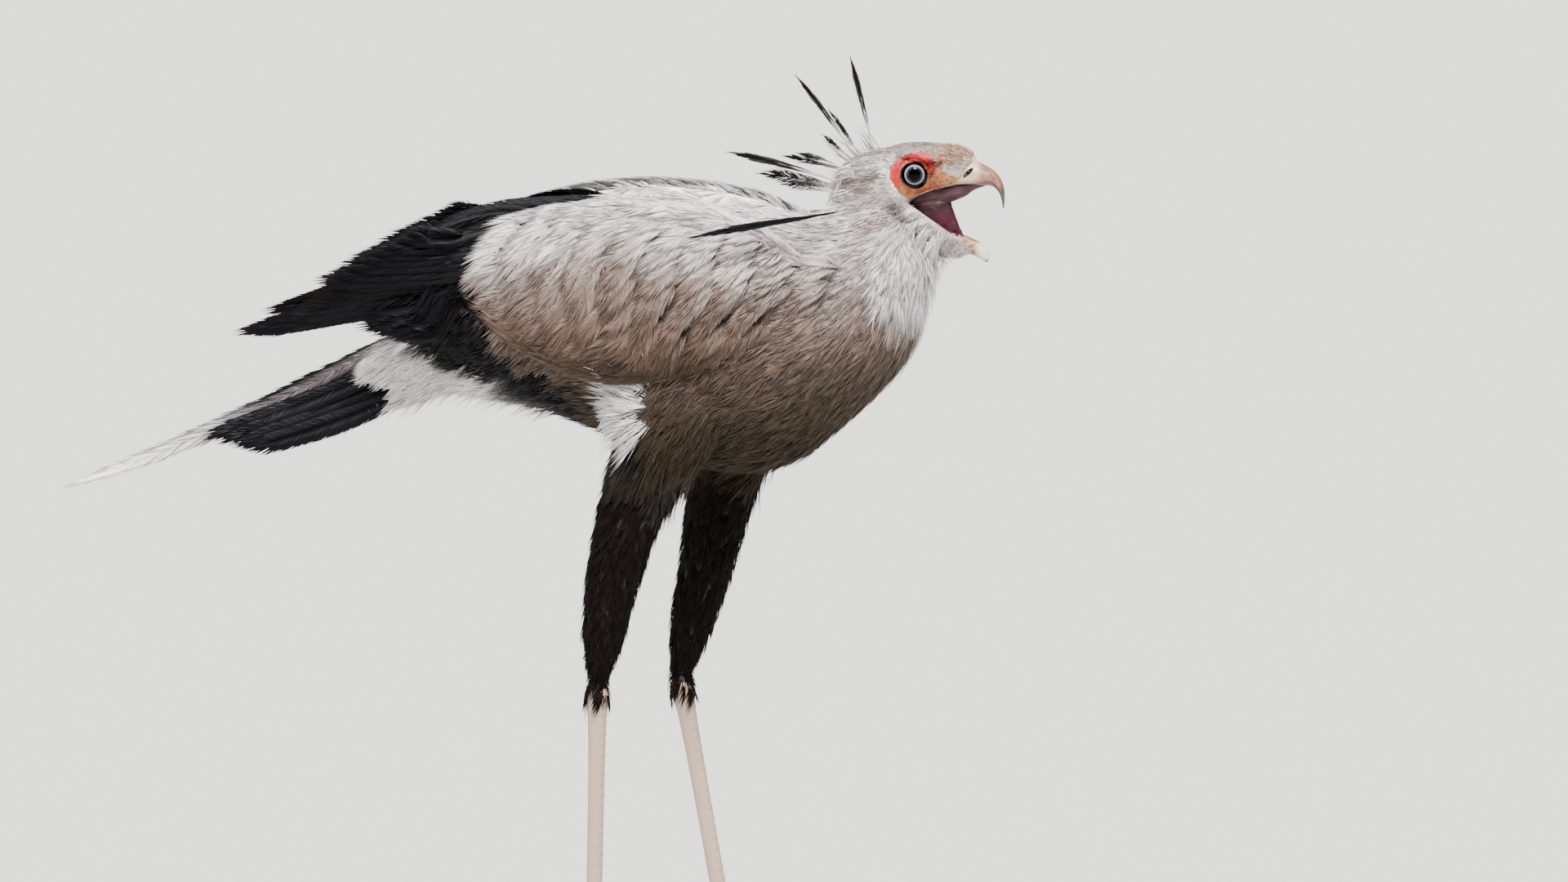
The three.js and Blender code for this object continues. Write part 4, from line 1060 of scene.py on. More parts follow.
def comb(place, normal, long, rise, seed, stray=0.12, loose=0.0, weight=0.0, stand=0.0, lie=lie):
    """Lines that lie over the skin from each root, with the way that their upper side looks."""
    draw = np.random.default_rng(seed)
    tilt = stray * draw.normal(size=place.shape)
    way = unit(lie(place, normal) + tilt + stand * normal)
    at, up = place, normal
    lines, faces = [place - 0.6 * normal], [normal]
    step = (long / (COMB_STEPS - 1))[:, None]
    for k in range(1, COMB_STEPS):
        share = k / (COMB_STEPS - 1)
        fall = np.array((0.0, 0.0, -weight * share))
        ahead = at + unit(way + fall) * step
        near, near_up, _ = nearest_on_skin(ahead)
        up = unit(mix(up, near_up, 0.7))
        at = mix(near, ahead, loose * share**0.5)
        way = unit(mix(way, unit(lie(near, up) + tilt), 0.4))
        way = unit(way - up * (way * up).sum(1, keepdims=True) * (1 - loose))
        lines.append(at + up * (rise * share**1.3)[:, None])
        faces.append(up)
    return np.stack(lines, 1), np.stack(faces, 1)


# %% [markdown]
# ## The body's small feathers
# One call dresses one region of the skin with feathers of one kind. It says how close they stand,
# how long and wide they are, how many wisps each has, and then what sets the kind apart: how far it
# rises, frays, strays or hangs. Their colour is the marking under them, darker in the middle and
# paler at the edge, as on the real bird, where the edges are worn and bleached.

# %% Dress a region
def lightness(colour):
    """How far dark feathers take part in what pale ones have at their edges: 0.1 to 1."""
    return np.clip(colour.mean(-1, keepdims=True) / 0.3, 0.1, 1)


def from_centre(x, z):
    """A lie that spreads from one place like a fan."""
    def way_out(place, normal):
        way = unit((place - (x, 0, z)) * (1, 0, 1))
        return unit(way - normal * (way * normal).sum(1, keepdims=True))
    return way_out


def dress(name, mask, spacing, long, wide, wisps, seed, rise=3.0, lean=0.6, fray=0.5, barb=0.8, thick=0.25,
          stray=0.12, loose=0.0, weight=0.0, stand=0.0, outline="covert", edge="cream", pale=0.4, vary=0.14,
          tip_light=0.25, tone=None, dark=0.75, lie=lie):
    """Covers a masked region of the skin with combed feathers of one kind."""
    draw = np.random.default_rng(seed)
    place, normal, patch = scatter(mask, spacing, seed)
    count = len(place)
    lengths = (long(place) if callable(long) else long) * draw.uniform(0.8, 1.2, count)
    lines, faces = comb(place, normal, lengths, rise * draw.uniform(0.6, 1.3, count), seed + 1, stray=stray,
                        loose=loose, weight=weight, stand=stand, lie=lie)
    widths = wide * draw.uniform(0.8, 1.15, count)
    verts, shares, outs = feathers(lines, faces, widths, outline, wisps, lean, fray, seed + 2, barb=barb,
                                   thick=thick)
    centre = np.tile(PALETTE[tone], (count, 1)) if tone else markings(lines[:, 2])
    share = lightness(centre)
    border = mix(centre, PALETTE[edge], pale * share)
    tip = mix(border, PALETTE[edge], tip_light * share)
    colours = tones(shares, outs, centre * dark, border, tip, seed + 3, vary=vary)
    return spike_piece(name, verts, colours, patch)


def by_height(low, low_long, high, high_long):
    """A length that changes with the height of the root."""
    return lambda place: mix(low_long, high_long, ramp(low, high, place[:, 2]))


# %% [markdown]
# The regions are masks over the triangles of the skin: a part of the body and some lines across it.
# The white tuft behind each thigh spreads like a fan, so it gets a lie of its own.

# %% The regions
BACK_LINE, BELLY_LINE, BREAST_LINE, RUMP_LINE, NAPE_LINE = 640, 545, 96, -130, 160
FACE_LINE, CHIN_LINE, BROW_LINE = 716, 718, 741
LORES = [(196, 728), (214, 732), (222, 736), (214, 742), (207, 752), (199, 756), (196, 748)]
TUFT = [(-26, 528), (-26, 552), (-44, 562), (-60, 552), (-66, 536), (-58, 522), (-40, 518)]
FAN_X, FAN_Z = -16, 540
LEG_STEP = LEGS["left"]["hip"] - LEGS["right"]["hip"]

x, y, z = centres.T
out = np.abs(y)
normal_x, _, normal_z = unit(normals[corners].mean(1)).T
front, rear = x > BREAST_LINE, x < RUMP_LINE
torso, neck, tail, head_coat, thighs = (on(name) for name in ("torso", "neck", "tail", "head", "thigh"))
flank = torso & ~front & (x > RUMP_LINE)
chest = neck | (torso & front)
nape = head_coat & (x < NAPE_LINE)
throat = (neck | head_coat) & (normal_x > -0.35)
tail_vanes = (x < -282) & (z > 549)
on_head = part_of == label_names.index("head")
over_eye, under_eye = (from_outline(x, z, line) for line in (FACE[:10], FACE[13:] + FACE[:2]))
under_rim = np.interp(x, *RIM.T) - z
tuft = (inside(x, z, TUFT) & (y < -40)) | (inside(x - LEG_STEP, z, TUFT) & (y > 40))


def tuft_lie(place, normal):
    """The fan of the white tuft behind each thigh."""
    right_fan, left_fan = (from_centre(FAN_X + step, FAN_Z) for step in (0, LEG_STEP))
    return np.where(place[:, 1:2] < 0, right_fan(place, normal), left_fan(place, normal))


# %% [markdown]
# The breast and the belly are soft, with long thin wisps. The back and the wings are smoother. The
# face has the smallest feathers and bristles of all, and longer loose ones hang at the throat, the
# flanks and under the tail.

# %% Dress every region
ARM_LENGTH = by_height(600, 38, 690, 32)
SOFT = dict(rise=3.5, lean=0.75, fray=0.7, vary=0.16)
FINE = dict(lean=0.8, thick=0.12)
RIM_DOWN = dict(FINE, stray=0.2, vary=0.2)
SHAGGY = dict(outline="lock", edge="white")
WHITE = dict(SHAGGY, tone="white", dark=0.8)

coats = [
    dress("coat_back", (torso | tail) & (z > BACK_LINE) & ~front, 8.5, 36, 10, 5, 10, rise=4, barb=1.0),
    dress("coat_flank", flank & (z <= BACK_LINE) & (z > BELLY_LINE), 9.5, 34, 9, 5, 20, lean=0.65, barb=1.0),
    dress("coat_belly", flank & (z <= BELLY_LINE), 6.8, 30, 7, 4, 30, rise=5, lean=0.72, fray=0.8, barb=0.75,
          loose=0.3, weight=0.2),
    dress("coat_breast", (torso | neck) & front & (z < BACK_LINE), 5.4, 27, 6, 4, 40, barb=0.7, **SOFT),
    dress("coat_neck", chest & (z >= BACK_LINE), 5.4, 26, 5.5, 4, 50, barb=0.65, **SOFT),
    dress("coat_rump", (tail | torso) & rear & (z < BACK_LINE) & ~tail_vanes, 6.0, 32, 6, 4, 60, rise=5,
          lean=0.75, fray=0.8, barb=0.6, loose=0.35, weight=0.3, edge="white", pale=0.15, vary=0.1),
    dress("coat_wing_right", on("wing_right"), 12.5, ARM_LENGTH, 11, 6, 70, lean=0.65),
    dress("coat_wing_left", on("wing_left"), 12.5, ARM_LENGTH, 11, 6, 80, lean=0.65),
    dress("coat_thigh", thighs, 6.0, by_height(500, 40, 540, 28), 6, 5, 90, rise=5, lean=0.75, fray=0.8,
          barb=0.7, loose=0.35, weight=0.15),
    dress("coat_shank", on("shank"), 5.9, 25, 4.5, 3, 100, rise=4, lean=0.75, fray=0.7, barb=0.7,
          edge="umber", pale=0.12, tip_light=0.1),
    dress("coat_crown", head_coat & (z > FACE_LINE) & ~nape, 2.1, by_height(735, 10, 755, 7), 1.2, 1, 110,
          rise=0.5, lean=0.8, barb=0.32, thick=0.14, vary=0.24, dark=0.62),
    dress("coat_nape", nape & (z > FACE_LINE), 3.2, 15, 2.4, 2, 115, rise=1.4, lean=0.75, fray=0.6, barb=0.4,
          thick=0.18, vary=0.26, dark=0.6),
    dress("coat_chin", head_coat & (z <= CHIN_LINE), 2.8, by_height(676, 9, 704, 22), 2.4, 2, 120, rise=2.2,
          lean=0.78, fray=0.6, barb=0.36, thick=0.16, vary=0.24, dark=0.62),
    dress("throat_shag", throat & (x > 158) & (x < 206) & (z > 634) & (z < 700), 3.3, 34, 3.6, 3, 130,
          lean=0.82, fray=0.8, barb=0.3, loose=0.85, weight=0.25, stand=0.7, stray=0.24, vary=0.22, **WHITE),
    dress("face_edge", on_head & (out > 9) & (z > FACE_LINE) & (over_eye < 2.6), 1.3, 6.5, 1.0, 1, 200,
          rise=0.7, barb=0.22, loose=0.2, **RIM_DOWN),
    dress("cheek_edge", on_head & (out > 12) & (z > 712) & (under_eye < 2.2), 1.4, 9, 1.2, 1, 205, rise=1.2,
          barb=0.25, loose=0.2, tone="white", edge="white", dark=0.8, **RIM_DOWN),
    dress("jaw_edge", on_head & (out > 8) & (x < 224) & (z < FACE_LINE) & (under_rim > 1.2) & (under_rim < 5),
          1.5, 9, 1.3, 1, 210, rise=1.0, barb=0.26, loose=0.3, stray=0.22, vary=0.2, **FINE),
    dress("lore_bristles", on_head & (out > 9) & inside(x, z, LORES), 2.2, 5.5, 0.7, 0, 215, rise=1.4,
          barb=0.14, thick=0.12, loose=0.7, stand=0.4, stray=0.3, tone="soot", edge="umber"),
    dress("brow_bristles", head_coat & (x > 212) & (z > BROW_LINE), 2.4, 10, 1.6, 1, 180, rise=1, barb=0.22,
          loose=0.8, stand=0.7, stray=0.2, **FINE),
    dress("neck_strands", (chest | nape) & (x > 70) & (z > 590), 10.5, 44, 6, 2, 140, rise=6, lean=0.85,
          fray=0.9, barb=0.3, loose=0.25, stray=0.22, pale=0.6, dark=1.15, **SHAGGY),
    dress("thigh_tuft", (thighs | torso) & tuft, 3.3, 42, 5.5, 3, 150, rise=10, lean=0.82, fray=0.8,
          barb=0.42, loose=0.7, stand=0.3, stray=0.16, lie=tuft_lie, **WHITE),
    dress("undertail_fringe", (tail | torso) & (x < -120) & (normal_z < -0.35), 9.0, 38, 5, 2, 160, rise=6,
          lean=0.85, fray=0.9, barb=0.3, loose=0.8, weight=0.9, stray=0.25, pale=0.2, **SHAGGY),
    dress("flank_fringe", thighs & (z < 512), 5.5, 42, 6, 3, 170, rise=8, lean=0.82, fray=0.9, barb=0.5,
          outline="lock", loose=0.8, weight=0.3, stand=0.2, stray=0.2),
]
print("coat so far:", sum(coat_triangles.values()))

# %% [markdown]
# ## The folded wings
# Flight feathers and coverts are too big to be left to chance, so they are set in tiers from first
# to last, each root and tip at its own place on the outer side of the wing. The wing is measured
# once for the right side. The left one is its mirror image.

# %% A place on the wing
WING_ROWS = np.array(WING, dtype=float)[::-1]
WING_END = WING_ROWS[0]
PAST_END_REACH, PAST_END_SPREAD, PAST_END_DROP = 60, 0.1, 0.22
WING_RIM = 0.94


def on_wing(x, z, lift):
    """Points on the outer side of the right wing, raised off it, and the way that side looks."""
    y, middle, thick, high, deep = (np.interp(x, WING_ROWS[:, 0], WING_ROWS[:, k]) for k in range(1, 6))
    past = np.maximum(WING_END[0] - x, 0)
    high, deep = (np.where(past > 0, PAST_END_REACH, reach) for reach in (high, deep))
    y, middle = y + PAST_END_SPREAD * past, middle - PAST_END_DROP * past
    height = np.clip((z - middle) / np.where(z > middle, high, deep), -WING_RIM, WING_RIM)
    z = middle + height * np.where(z > middle, high, deep)
    level = np.sqrt(1 - height**2)
    lean = np.where((past == 0) & (height > 0), WING_LEAN * high * height, 0)
    face = unit(np.stack([0 * x, -level - 0.25, height * 0.6], -1))
    return np.stack([x, y - thick * level + lean, z], -1) + face * lift[..., None], face


# %% [markdown]
# A tier of flight feathers is told by its first and its last feather: x and z of the roots, then of
# the tips. Between them the feathers are spread evenly, each tip shaken a little. Two long ones reach
# past all the others, as the outermost do on a folded wing.

# %% Tiers of flight feathers
TIERS = [
    (8, (-128, 664, -132, 638), (-326, 640, -356, 614), 11, (-5, -2)),
    (9, (-112, 634, -64, 584), (-300, 606, -176, 574), 13, (-1, 2)),
    (8, (-104, 692, -116, 666), (-252, 688, -334, 645), 12, (2, 7)),
    (2, (-134, 650, -130, 655), (-409, 599, -372, 612), 11, (-4, -2)),
]
STATIONS = 9
ROOT_DEPTH = -6
SHINGLE = 0.2


def straight_lines(roots, tips, lift, seed):
    """Lines over the right wing between roots and tips that are given from the side."""
    draw = np.random.default_rng(seed)
    t = np.linspace(0, 1, STATIONS)
    x = mix(roots[:, :1], tips[:, :1], t)
    z = mix(roots[:, 1:], tips[:, 1:], t)
    off = np.interp(t, (0, 0.25, 1), (ROOT_DEPTH, *lift)) + draw.uniform(-0.6, 0.6, (len(roots), 1))
    points, face = on_wing(x, z, off)
    return points, unit(face + (0, 0, SHINGLE))


def tier_lines(count, roots, tips, lift, seed):
    """One tier of flight feathers, spread between its first and its last."""
    draw = np.random.default_rng(seed)
    s = np.linspace(0, 1, count)[:, None]
    roots, tips = (mix(np.array(ends[:2], dtype=float), np.array(ends[2:]), s) for ends in (roots, tips))
    return straight_lines(roots, tips + draw.uniform(-3, 3, tips.shape) * (1, 0.5), lift, seed + 1)


# %% [markdown]
# The coverts follow the stream of the plumage down and back. Their tips lie in rows between the
# hind edge, where they end over the black flight feathers, and the front of the wing, and each root
# lies up the stream from its tip.

# %% Rows of coverts
COVERT_EDGE = [(-105, 716), (-182, 691), (-203, 651), (-191, 614), (-174, 592), (-148, 567), (-100, 551)]
COVERT_FRONT = [(70, 704), (88, 684), (92, 652), (84, 624), (62, 600), (28, 582), (-24, 566)]
COVERT_ROWS, COVERTS_IN_ROW = 10, 22
COVERT_LENGTH, COVERT_HALF_WIDTH = (74, 38), (11, 8)


def covert_lines(seed):
    """The lines of all coverts of the right wing, from the hind edge forwards, and their widths."""
    draw = np.random.default_rng(seed)
    groups = []
    for row in range(COVERT_ROWS):
        share = row / (COVERT_ROWS - 1)
        edge = mix(np.array(COVERT_EDGE, dtype=float), np.array(COVERT_FRONT), share)
        s = (np.arange(COVERTS_IN_ROW) + 0.5 * (row % 2)) / COVERTS_IN_ROW * (len(edge) - 1)
        tips = np.stack([np.interp(s, np.arange(len(edge)), edge[:, k]) for k in (0, 1)], 1)
        tips += draw.uniform(-4, 4, tips.shape)
        way = unit(stream(tips))
        long = mix(*COVERT_LENGTH, share) * draw.uniform(0.85, 1.15, (len(tips), 1))
        lift = (mix(2, 3, share), mix(6, 7, share))
        lines, faces = straight_lines(tips - way * long, tips, lift, seed + row)
        groups.append((lines, faces, np.full(len(tips), mix(*COVERT_HALF_WIDTH, share))))
    return (np.concatenate([group[k] for group in groups]) for k in range(3))


# %% [markdown]
# The vanes of a flight feather are so close that they look like one sheet, so its wisps are many,
# narrow and hardly frayed. A covert's are fewer and looser. Each feather also gets its shaft.

# %% Lay the feathers of a wing
def patch_of(points):
    """The place on the skin's unwrap that lies nearest to each point."""
    return places[nearest_on_skin(points)[2]].mean(1)


def flight_colours(shares, outs, lines, seed):
    """Blue-black vanes, paler at their edges by a faint painted sheen, and worn brown tips."""
    centre = np.broadcast_to(PALETTE["black"], (len(lines), 3))
    # A faint painted sheen towards the edges of the vanes.
    painted_sheen = mix(PALETTE["black"], PALETTE["lilac"], 0.025)
    worn = mix(PALETTE["soot"], PALETTE["umber"], 0.12)
    return tones(shares, outs, centre, painted_sheen, worn, seed, vary=0.08, tip_from=0.93)


def covert_colours(shares, outs, lines, seed):
    """The markings of the wing, paler along the edges and buff at the tips."""
    centre = markings(along(lines, shares[:, :, 3]).reshape(-1, 3)).reshape(*shares.shape[:2], 3)
    share = lightness(centre)
    edge, tip = mix(centre, PALETTE["cream"], 0.34 * share), mix(centre, PALETTE["buff"], 0.3 * share)
    return tones(shares, outs, centre * 0.62, edge, tip, seed, vary=0.14)


def feather_piece(name, lines, faces, wide, outline, lobes, lean, fray, colouring, seed, barb=0.6,
                  shaft=0.5, stem=("soot", "soot")):
    """A piece of single feathers along given lines, each with its shaft."""
    closeness = np.linalg.norm(lines[:, -1] - lines[:, 0], axis=1) / max(lobes, 1)
    verts, shares, outs = feathers(lines, faces, wide, outline, lobes, lean, fray, seed,
                                   barb=barb * closeness, thick=0.25)
    colours = colouring(shares, outs, lines, seed + 1)
    stems, along_stem, _ = shafts(lines, faces, shaft)
    stem_colours = mix(PALETTE[stem[0]], PALETTE[stem[1]], ramp(0.25, 0.5, along_stem)[..., None]) * 0.8
    verts, colours = np.concatenate([verts, stems], 1), np.concatenate([colours, stem_colours], 1)
    return spike_piece(name, verts, colours, patch_of(lines[:, 0]))


def wing_pieces(side):
    """The vanes of one wing: a piece of flight feathers and a piece of coverts."""
    tiers = [(*tier_lines(count, roots, tips, lift, 200 + n), np.full(count, float(wide)))
             for n, (count, roots, tips, wide, lift) in enumerate(TIERS)]
    flight = [np.concatenate([tier[k] for tier in tiers]) for k in range(3)]
    covert = list(covert_lines(230))
    if side == "left":
        for group in (flight, covert):
            group[0], group[1] = group[0] * MIRROR + (0, 0, LEFT_WING_LIFT), group[1] * MIRROR
    return [
        feather_piece("flight_" + side, *flight, "flight", 88, 0.15, 0.04, flight_colours, 300, barb=0.62),
        feather_piece("covert_" + side, *covert, "covert", 33, 0.42, 0.4, covert_colours, 320, barb=0.42,
                      stem=("umber", "umber")),
    ]


wing_right, wing_left = wing_pieces("right"), wing_pieces("left")

# %% [markdown]
# ## Tail, crest and plumes
# These feathers are few and stand apart, so each one is listed with its root and tip. A curve through
# three points is enough for the bend of each.

# %% Curves through three points
def bent(root, middle, tip):
    """A line of stations through three points."""
    t = np.linspace(0, 1, STATIONS)[:, None]
    control = 2 * np.asarray(middle, dtype=float) - (np.asarray(root, dtype=float) + tip) / 2
    return (1 - t) ** 2 * root + 2 * t * (1 - t) * control + t**2 * np.asarray(tip, dtype=float)


def rows_of(rows):
    """Lines, faces and half widths of feathers that are listed one by one."""
    lines = np.array([row[0] for row in rows])
    faces = np.array([np.broadcast_to(unit(np.array(row[1], dtype=float)), (STATIONS, 3)) for row in rows])
    return lines, faces, np.array([row[2] for row in rows], dtype=float)


# %% [markdown]
# The tail is short and ragged on so young a bird: two long central feathers and four shorter pairs.
# The side feathers are black. The long ones are grey-brown with dark edges, and white at their ends.

# %% The tail
TAIL_PAIRS = 5
TAIL_ROOT_X, TAIL_ROOT_OUT, TAIL_ROOT_Z, TAIL_STAGGER = -276, (16, 27), (580, 542), 0.8
TAIL_TIP_X, TAIL_TIP_OUT, TAIL_TIP_Z = (-460, -404), (9, 30), (509, 498)
LONG_STEP, LONG_TIPS = (12, -8, 20), {-1: (-567, -6, 462), 1: (-545, 6, 474)}
TAIL_SAG, LONG_SAG = 3, 9
TAIL_HALF_WIDTH = 12

tail_rows, long_rows = [], []
for pair in range(TAIL_PAIRS):
    for side in (-1, 1):
        s = pair / (TAIL_PAIRS - 1)
        root_height = mix(*TAIL_ROOT_Z, s) + TAIL_STAGGER * side
        root = np.array((TAIL_ROOT_X, side * mix(*TAIL_ROOT_OUT, s), root_height))
        tip = np.array((mix(*TAIL_TIP_X, s), side * mix(*TAIL_TIP_OUT, s), mix(*TAIL_TIP_Z, s)))
        rows, sag = tail_rows, TAIL_SAG
        if pair == 0:
            root = root + np.array(LONG_STEP) * (1, side, 1)
            tip = np.array(LONG_TIPS[side])
            rows, sag = long_rows, LONG_SAG
        face = (0, side * 1.3, mix(1, 0.35, s))
        rows.append((bent(root, (root + tip) / 2 - (0, 0, sag), tip), face, TAIL_HALF_WIDTH))


def long_colours(shares, outs, lines, seed):
    """Grey-brown feathers, dark along the middle, white towards their ends."""
    centre = np.broadcast_to(PALETTE["lilac"] * 0.5, (len(lines), 3))
    colours = tones(shares, 0 * outs, centre, centre, PALETTE["white"], seed, vary=0.24, tip_from=0.38)
    near_root = ramp(0.6, 0.42, shares)
    dark = ramp(0.3, 0.6, np.abs(outs)) + 0.8 * bump(outs, 0.1, 0.12)
    return mix(colours, PALETTE["soot"], np.clip(dark * near_root, 0, 1)[..., None])


tail_pieces = [
    feather_piece("tail_sides", *rows_of(tail_rows), "flight", 80, 0.16, 0.1, flight_colours, 500, barb=0.62),
    feather_piece("tail_long", *rows_of(long_rows), "long", 110, 0.1, 0.4, long_colours, 510, barb=0.4,
                  stem=("umber", "umber")),
]

# %% [markdown]
# The crest's plumes stand off the nape, each with a dark end on a thin pale stem. A row of the table
# is the root, the tip and the half width. One dark plume lies over each shoulder, along a curve of
# its own, and black plumes in two layers cover the rump between the wings.

# %% The crest and the shoulder plumes
CREST = [
    (144, 0, 753, 122, 0, 840, 2.6), (131, -5, 750, 76, -8, 823, 2.4), (127, -9, 746, 100, -15, 773, 2.4),
    (125, -12, 740, 80, -22, 757, 2.8), (121, -14, 731, 21, -36, 758, 3.4), (119, 12, 724, 34, 26, 737, 6.5),
    (123, 13, 738, 56, 28, 752, 3.6), (132, 7, 749, 99, 17, 793, 2.4), (115, -11, 722, 66, -24, 730, 5),
    (117, 15, 722, 70, 34, 728, 5),
]
CREST_SPREAD = 1.1
SHOULDER_PLUME = np.array([(122, 44, 708), (98, 78, 704), (52, 115, 697), (3, 127, 687)], dtype=float)
SHOULDER_HALF_WIDTH = 4.2

crest_rows = []
for x0, y0, z0, x1, y1, z1, half in CREST:
    root, tip = np.array((x0, y0, z0)), np.array((x1, y1, z1))
    face = (0, -1 if y0 == 0 else np.sign(y0), 0.25)
    crest_rows.append((bent(root, mix(root, tip, 0.55) + (0, 0, 2), tip), face, half * CREST_SPREAD))
shoulder_rows = [
    (spread(SHOULDER_PLUME * (1, side, 1), STATIONS - 1), (0, side, 0.7), SHOULDER_HALF_WIDTH)
    for side in (-1, 1)
]


def crest_colours(shares, outs, lines, seed):
    """Pale stems and dark ends."""
    dark = np.broadcast_to(PALETTE["soot"], (len(lines), 3))
    edge = mix(PALETTE["grey"], PALETTE["soot"], 0.5)
    colours = tones(shares, outs, dark, edge, PALETTE["soot"], seed, vary=0.2)
    return mix(colours, PALETTE["cream"], (0.75 * ramp(0.38, 0.12, shares))[..., None])


# %% Black plumes on the back
BACK_PLUMES = 15
BACK_ROOT_X, BACK_ROOT_OUT, BACK_ROOT_Z, BACK_LONG = -88, (-54, 62), 713, 112
LOW_ROOT_X, LOW_ROOT_Z, LOW_LONG, LOW_DROP = -146, 696, 108, 44

plume_rows = []
for n in range(BACK_PLUMES):
    s = n / (BACK_PLUMES - 1)
    outer = (2 * s - 1) ** 2
    out = mix(*BACK_ROOT_OUT, s)
    long = BACK_LONG + 22 * np.sin(7 * s) + 10 * np.sin(31 * s)
    root = np.array((BACK_ROOT_X - 34 * outer + 8 * np.sin(23 * s), out, BACK_ROOT_Z - 13 * outer))
    tip = root + (-long, 0.12 * out, -21 + 7 * np.cos(9 * s))
    face = (0, 0.5 * np.sign(out), 1)
    plume_rows.append((bent(root, mix(root, tip, 0.5) + (0, 0, 14), tip), face, 11))
    if n % 2:
        low_root = np.array((LOW_ROOT_X - 16 * outer, 0.8 * out, LOW_ROOT_Z - 8 * outer))
        low_tip = low_root + (-LOW_LONG - 0.2 * long, -0.15 * out, -LOW_DROP)
        plume_rows.append((bent(low_root, mix(low_root, low_tip, 0.5) + (0, 0, 10), low_tip), face, 13))

back_plumes = feather_piece("back_plumes", *rows_of(plume_rows), "flight", 64, 0.14, 0.2, flight_colours, 530,
                            barb=0.55)
crest = feather_piece("crest", *rows_of(crest_rows), "plume", 44, 0.2, 0.5, crest_colours, 520, barb=0.3,
                      shaft=0.9, stem=("cream", "soot"))
shoulder_plumes = feather_piece("shoulder_plumes", *rows_of(shoulder_rows), "plume", 50, 0.2, 0.4,
                                flight_colours, 540, barb=0.3)

# %% [markdown]
# Short pale tufts fill the nape between the quills, where young feathers are still coming in. They
# are drawn at random round the crest. A bird of this kind also has real lashes: stiff bristles in one
# row over each eye, set on the ridge of the lid.

# %% Tufts round the crest, and the lashes
CREST_TUFTS, LASHES = 34, 17
LASH_FIRST, LASH_LAST = -8, 150


def tuft_colours(shares, outs, lines, seed):
    """Cream tufts with brown tips."""
    centre = np.broadcast_to(PALETTE["cream"], (len(lines), 3)) * 0.8
    return tones(shares, outs, centre, PALETTE["white"], PALETTE["brown"], seed, vary=0.25, tip_from=0.6)


def lash_colours(shares, outs, lines, seed):
    """Black all along."""
    black = np.broadcast_to(PALETTE["soot"], (len(lines), 3))
    return tones(shares, outs, black, PALETTE["soot"], PALETTE["black"], seed)


draw = np.random.default_rng(550)
tuft_rows, lash_rows = [], []
for n in range(CREST_TUFTS):
    s = n / (CREST_TUFTS - 1)
    above = np.array((mix(148, 112, s), draw.uniform(-17, 17), mix(768, 740, s)))
    root, up_there, _ = (found[0] for found in nearest_on_skin(above[None]))
    backwards = np.array((-0.8, 0.02 * above[1], mix(0.75, 0.1, s)))
    way = unit(backwards + 0.5 * up_there + 0.15 * draw.normal(size=3))
    tip = root + way * draw.uniform(16, 32)
    tuft_rows.append((bent(root - up_there, mix(root, tip, 0.5) + up_there, tip), up_there, 2.4))
for side in (-1, 1):
    for n in range(LASHES):
        turn = np.radians(mix(LASH_FIRST, LASH_LAST, n / (LASHES - 1)))
        out = np.array((np.cos(turn), 0, np.sin(turn)))
        lid = EYE_AT * (1, side, 1) + out * (LID_RING + LID_WIDTH) + (0, side * 4, 0)
        root = nearest_on_skin(lid[None])[0][0]
        tip = root + out * draw.uniform(5, 8) + (2.0, side * draw.uniform(2, 4.5), 1.0)
        middle = mix(root, tip, 0.5) + (0, side, 0)
        lash_rows.append((bent(root - (0, side, 0), middle, tip), (0, side, 0.3), 0.4))
crest_tufts = feather_piece("crest_tufts", *rows_of(tuft_rows), "lock", 5, 0.7, 0.6, tuft_colours, 551,
                            barb=0.1, shaft=0.4, stem=("cream", "brown"))
lashes = feather_piece("lashes", *rows_of(lash_rows), "lock", 0, 0.8, 0.2, lash_colours, 552, barb=0.02,
                       shaft=0.26, stem=("soot", "black"))
print("coat in all:", sum(coat_triangles.values()))

# %% [markdown]
# ## Eyes
# The eye is a ball with a clear, wet front. A texture would give it its rings, but here they are
# painted on its points by their distance from the axis: a black pupil, a grey iris that is lighter
# at its rim, and the dark edge under the lids. The eyes look a little ahead.

# %% The eyeballs
PUPIL, IRIS = 5.3, 8.4
EYE_TURN = np.radians(10)
EYE_CLEARANCE = 0.5


def eye_piece(side):
    """One eye, with its rings painted."""
    centre = EYE_AT * (1, side, 1)
    points, faces = ellipsoid(centre, (EYE_RADIUS - EYE_CLEARANCE,) * 3, wide=96, high=64)
    thing = plain_object("eyeball_" + ("left" if side > 0 else "right"), points, faces)
    axis = np.array((np.sin(EYE_TURN), side * np.cos(EYE_TURN), 0))
    spokes = points - centre
    ahead = spokes @ axis
    spokes = spokes - ahead[:, None] * axis
    away = np.where(ahead > 0, np.linalg.norm(spokes, axis=1), EYE_RADIUS)
    angle = np.arctan2(spokes[:, 2], spokes[:, 0])
    rays = 0.5 + 0.5 * ripple(np.stack([5 * np.cos(angle), 5 * np.sin(angle), away * 0.2], 1), 0.6, 21)
    iris = mix(srgb(26, 23, 28), srgb(66, 60, 68), (0.6 * ramp(PUPIL, IRIS, away) + 0.4 * rays)[:, None])
    iris = mix(iris, srgb(158, 158, 168), (0.9 * bump(away, IRIS - 0.5, 0.55))[:, None])
    colour = mix(PALETTE["black"] * 0.4, iris, ramp(PUPIL - 0.4, PUPIL + 0.3, away)[:, None])
    colour = mix(colour, PALETTE["black"], ramp(IRIS - 0.3, IRIS + 0.5, away)[:, None])
    tint(thing.data, colour)
    thing.data.shade_smooth()
    return thing


eyes = {side: eye_piece(side) for side in (-1, 1)}
print("eyes made")

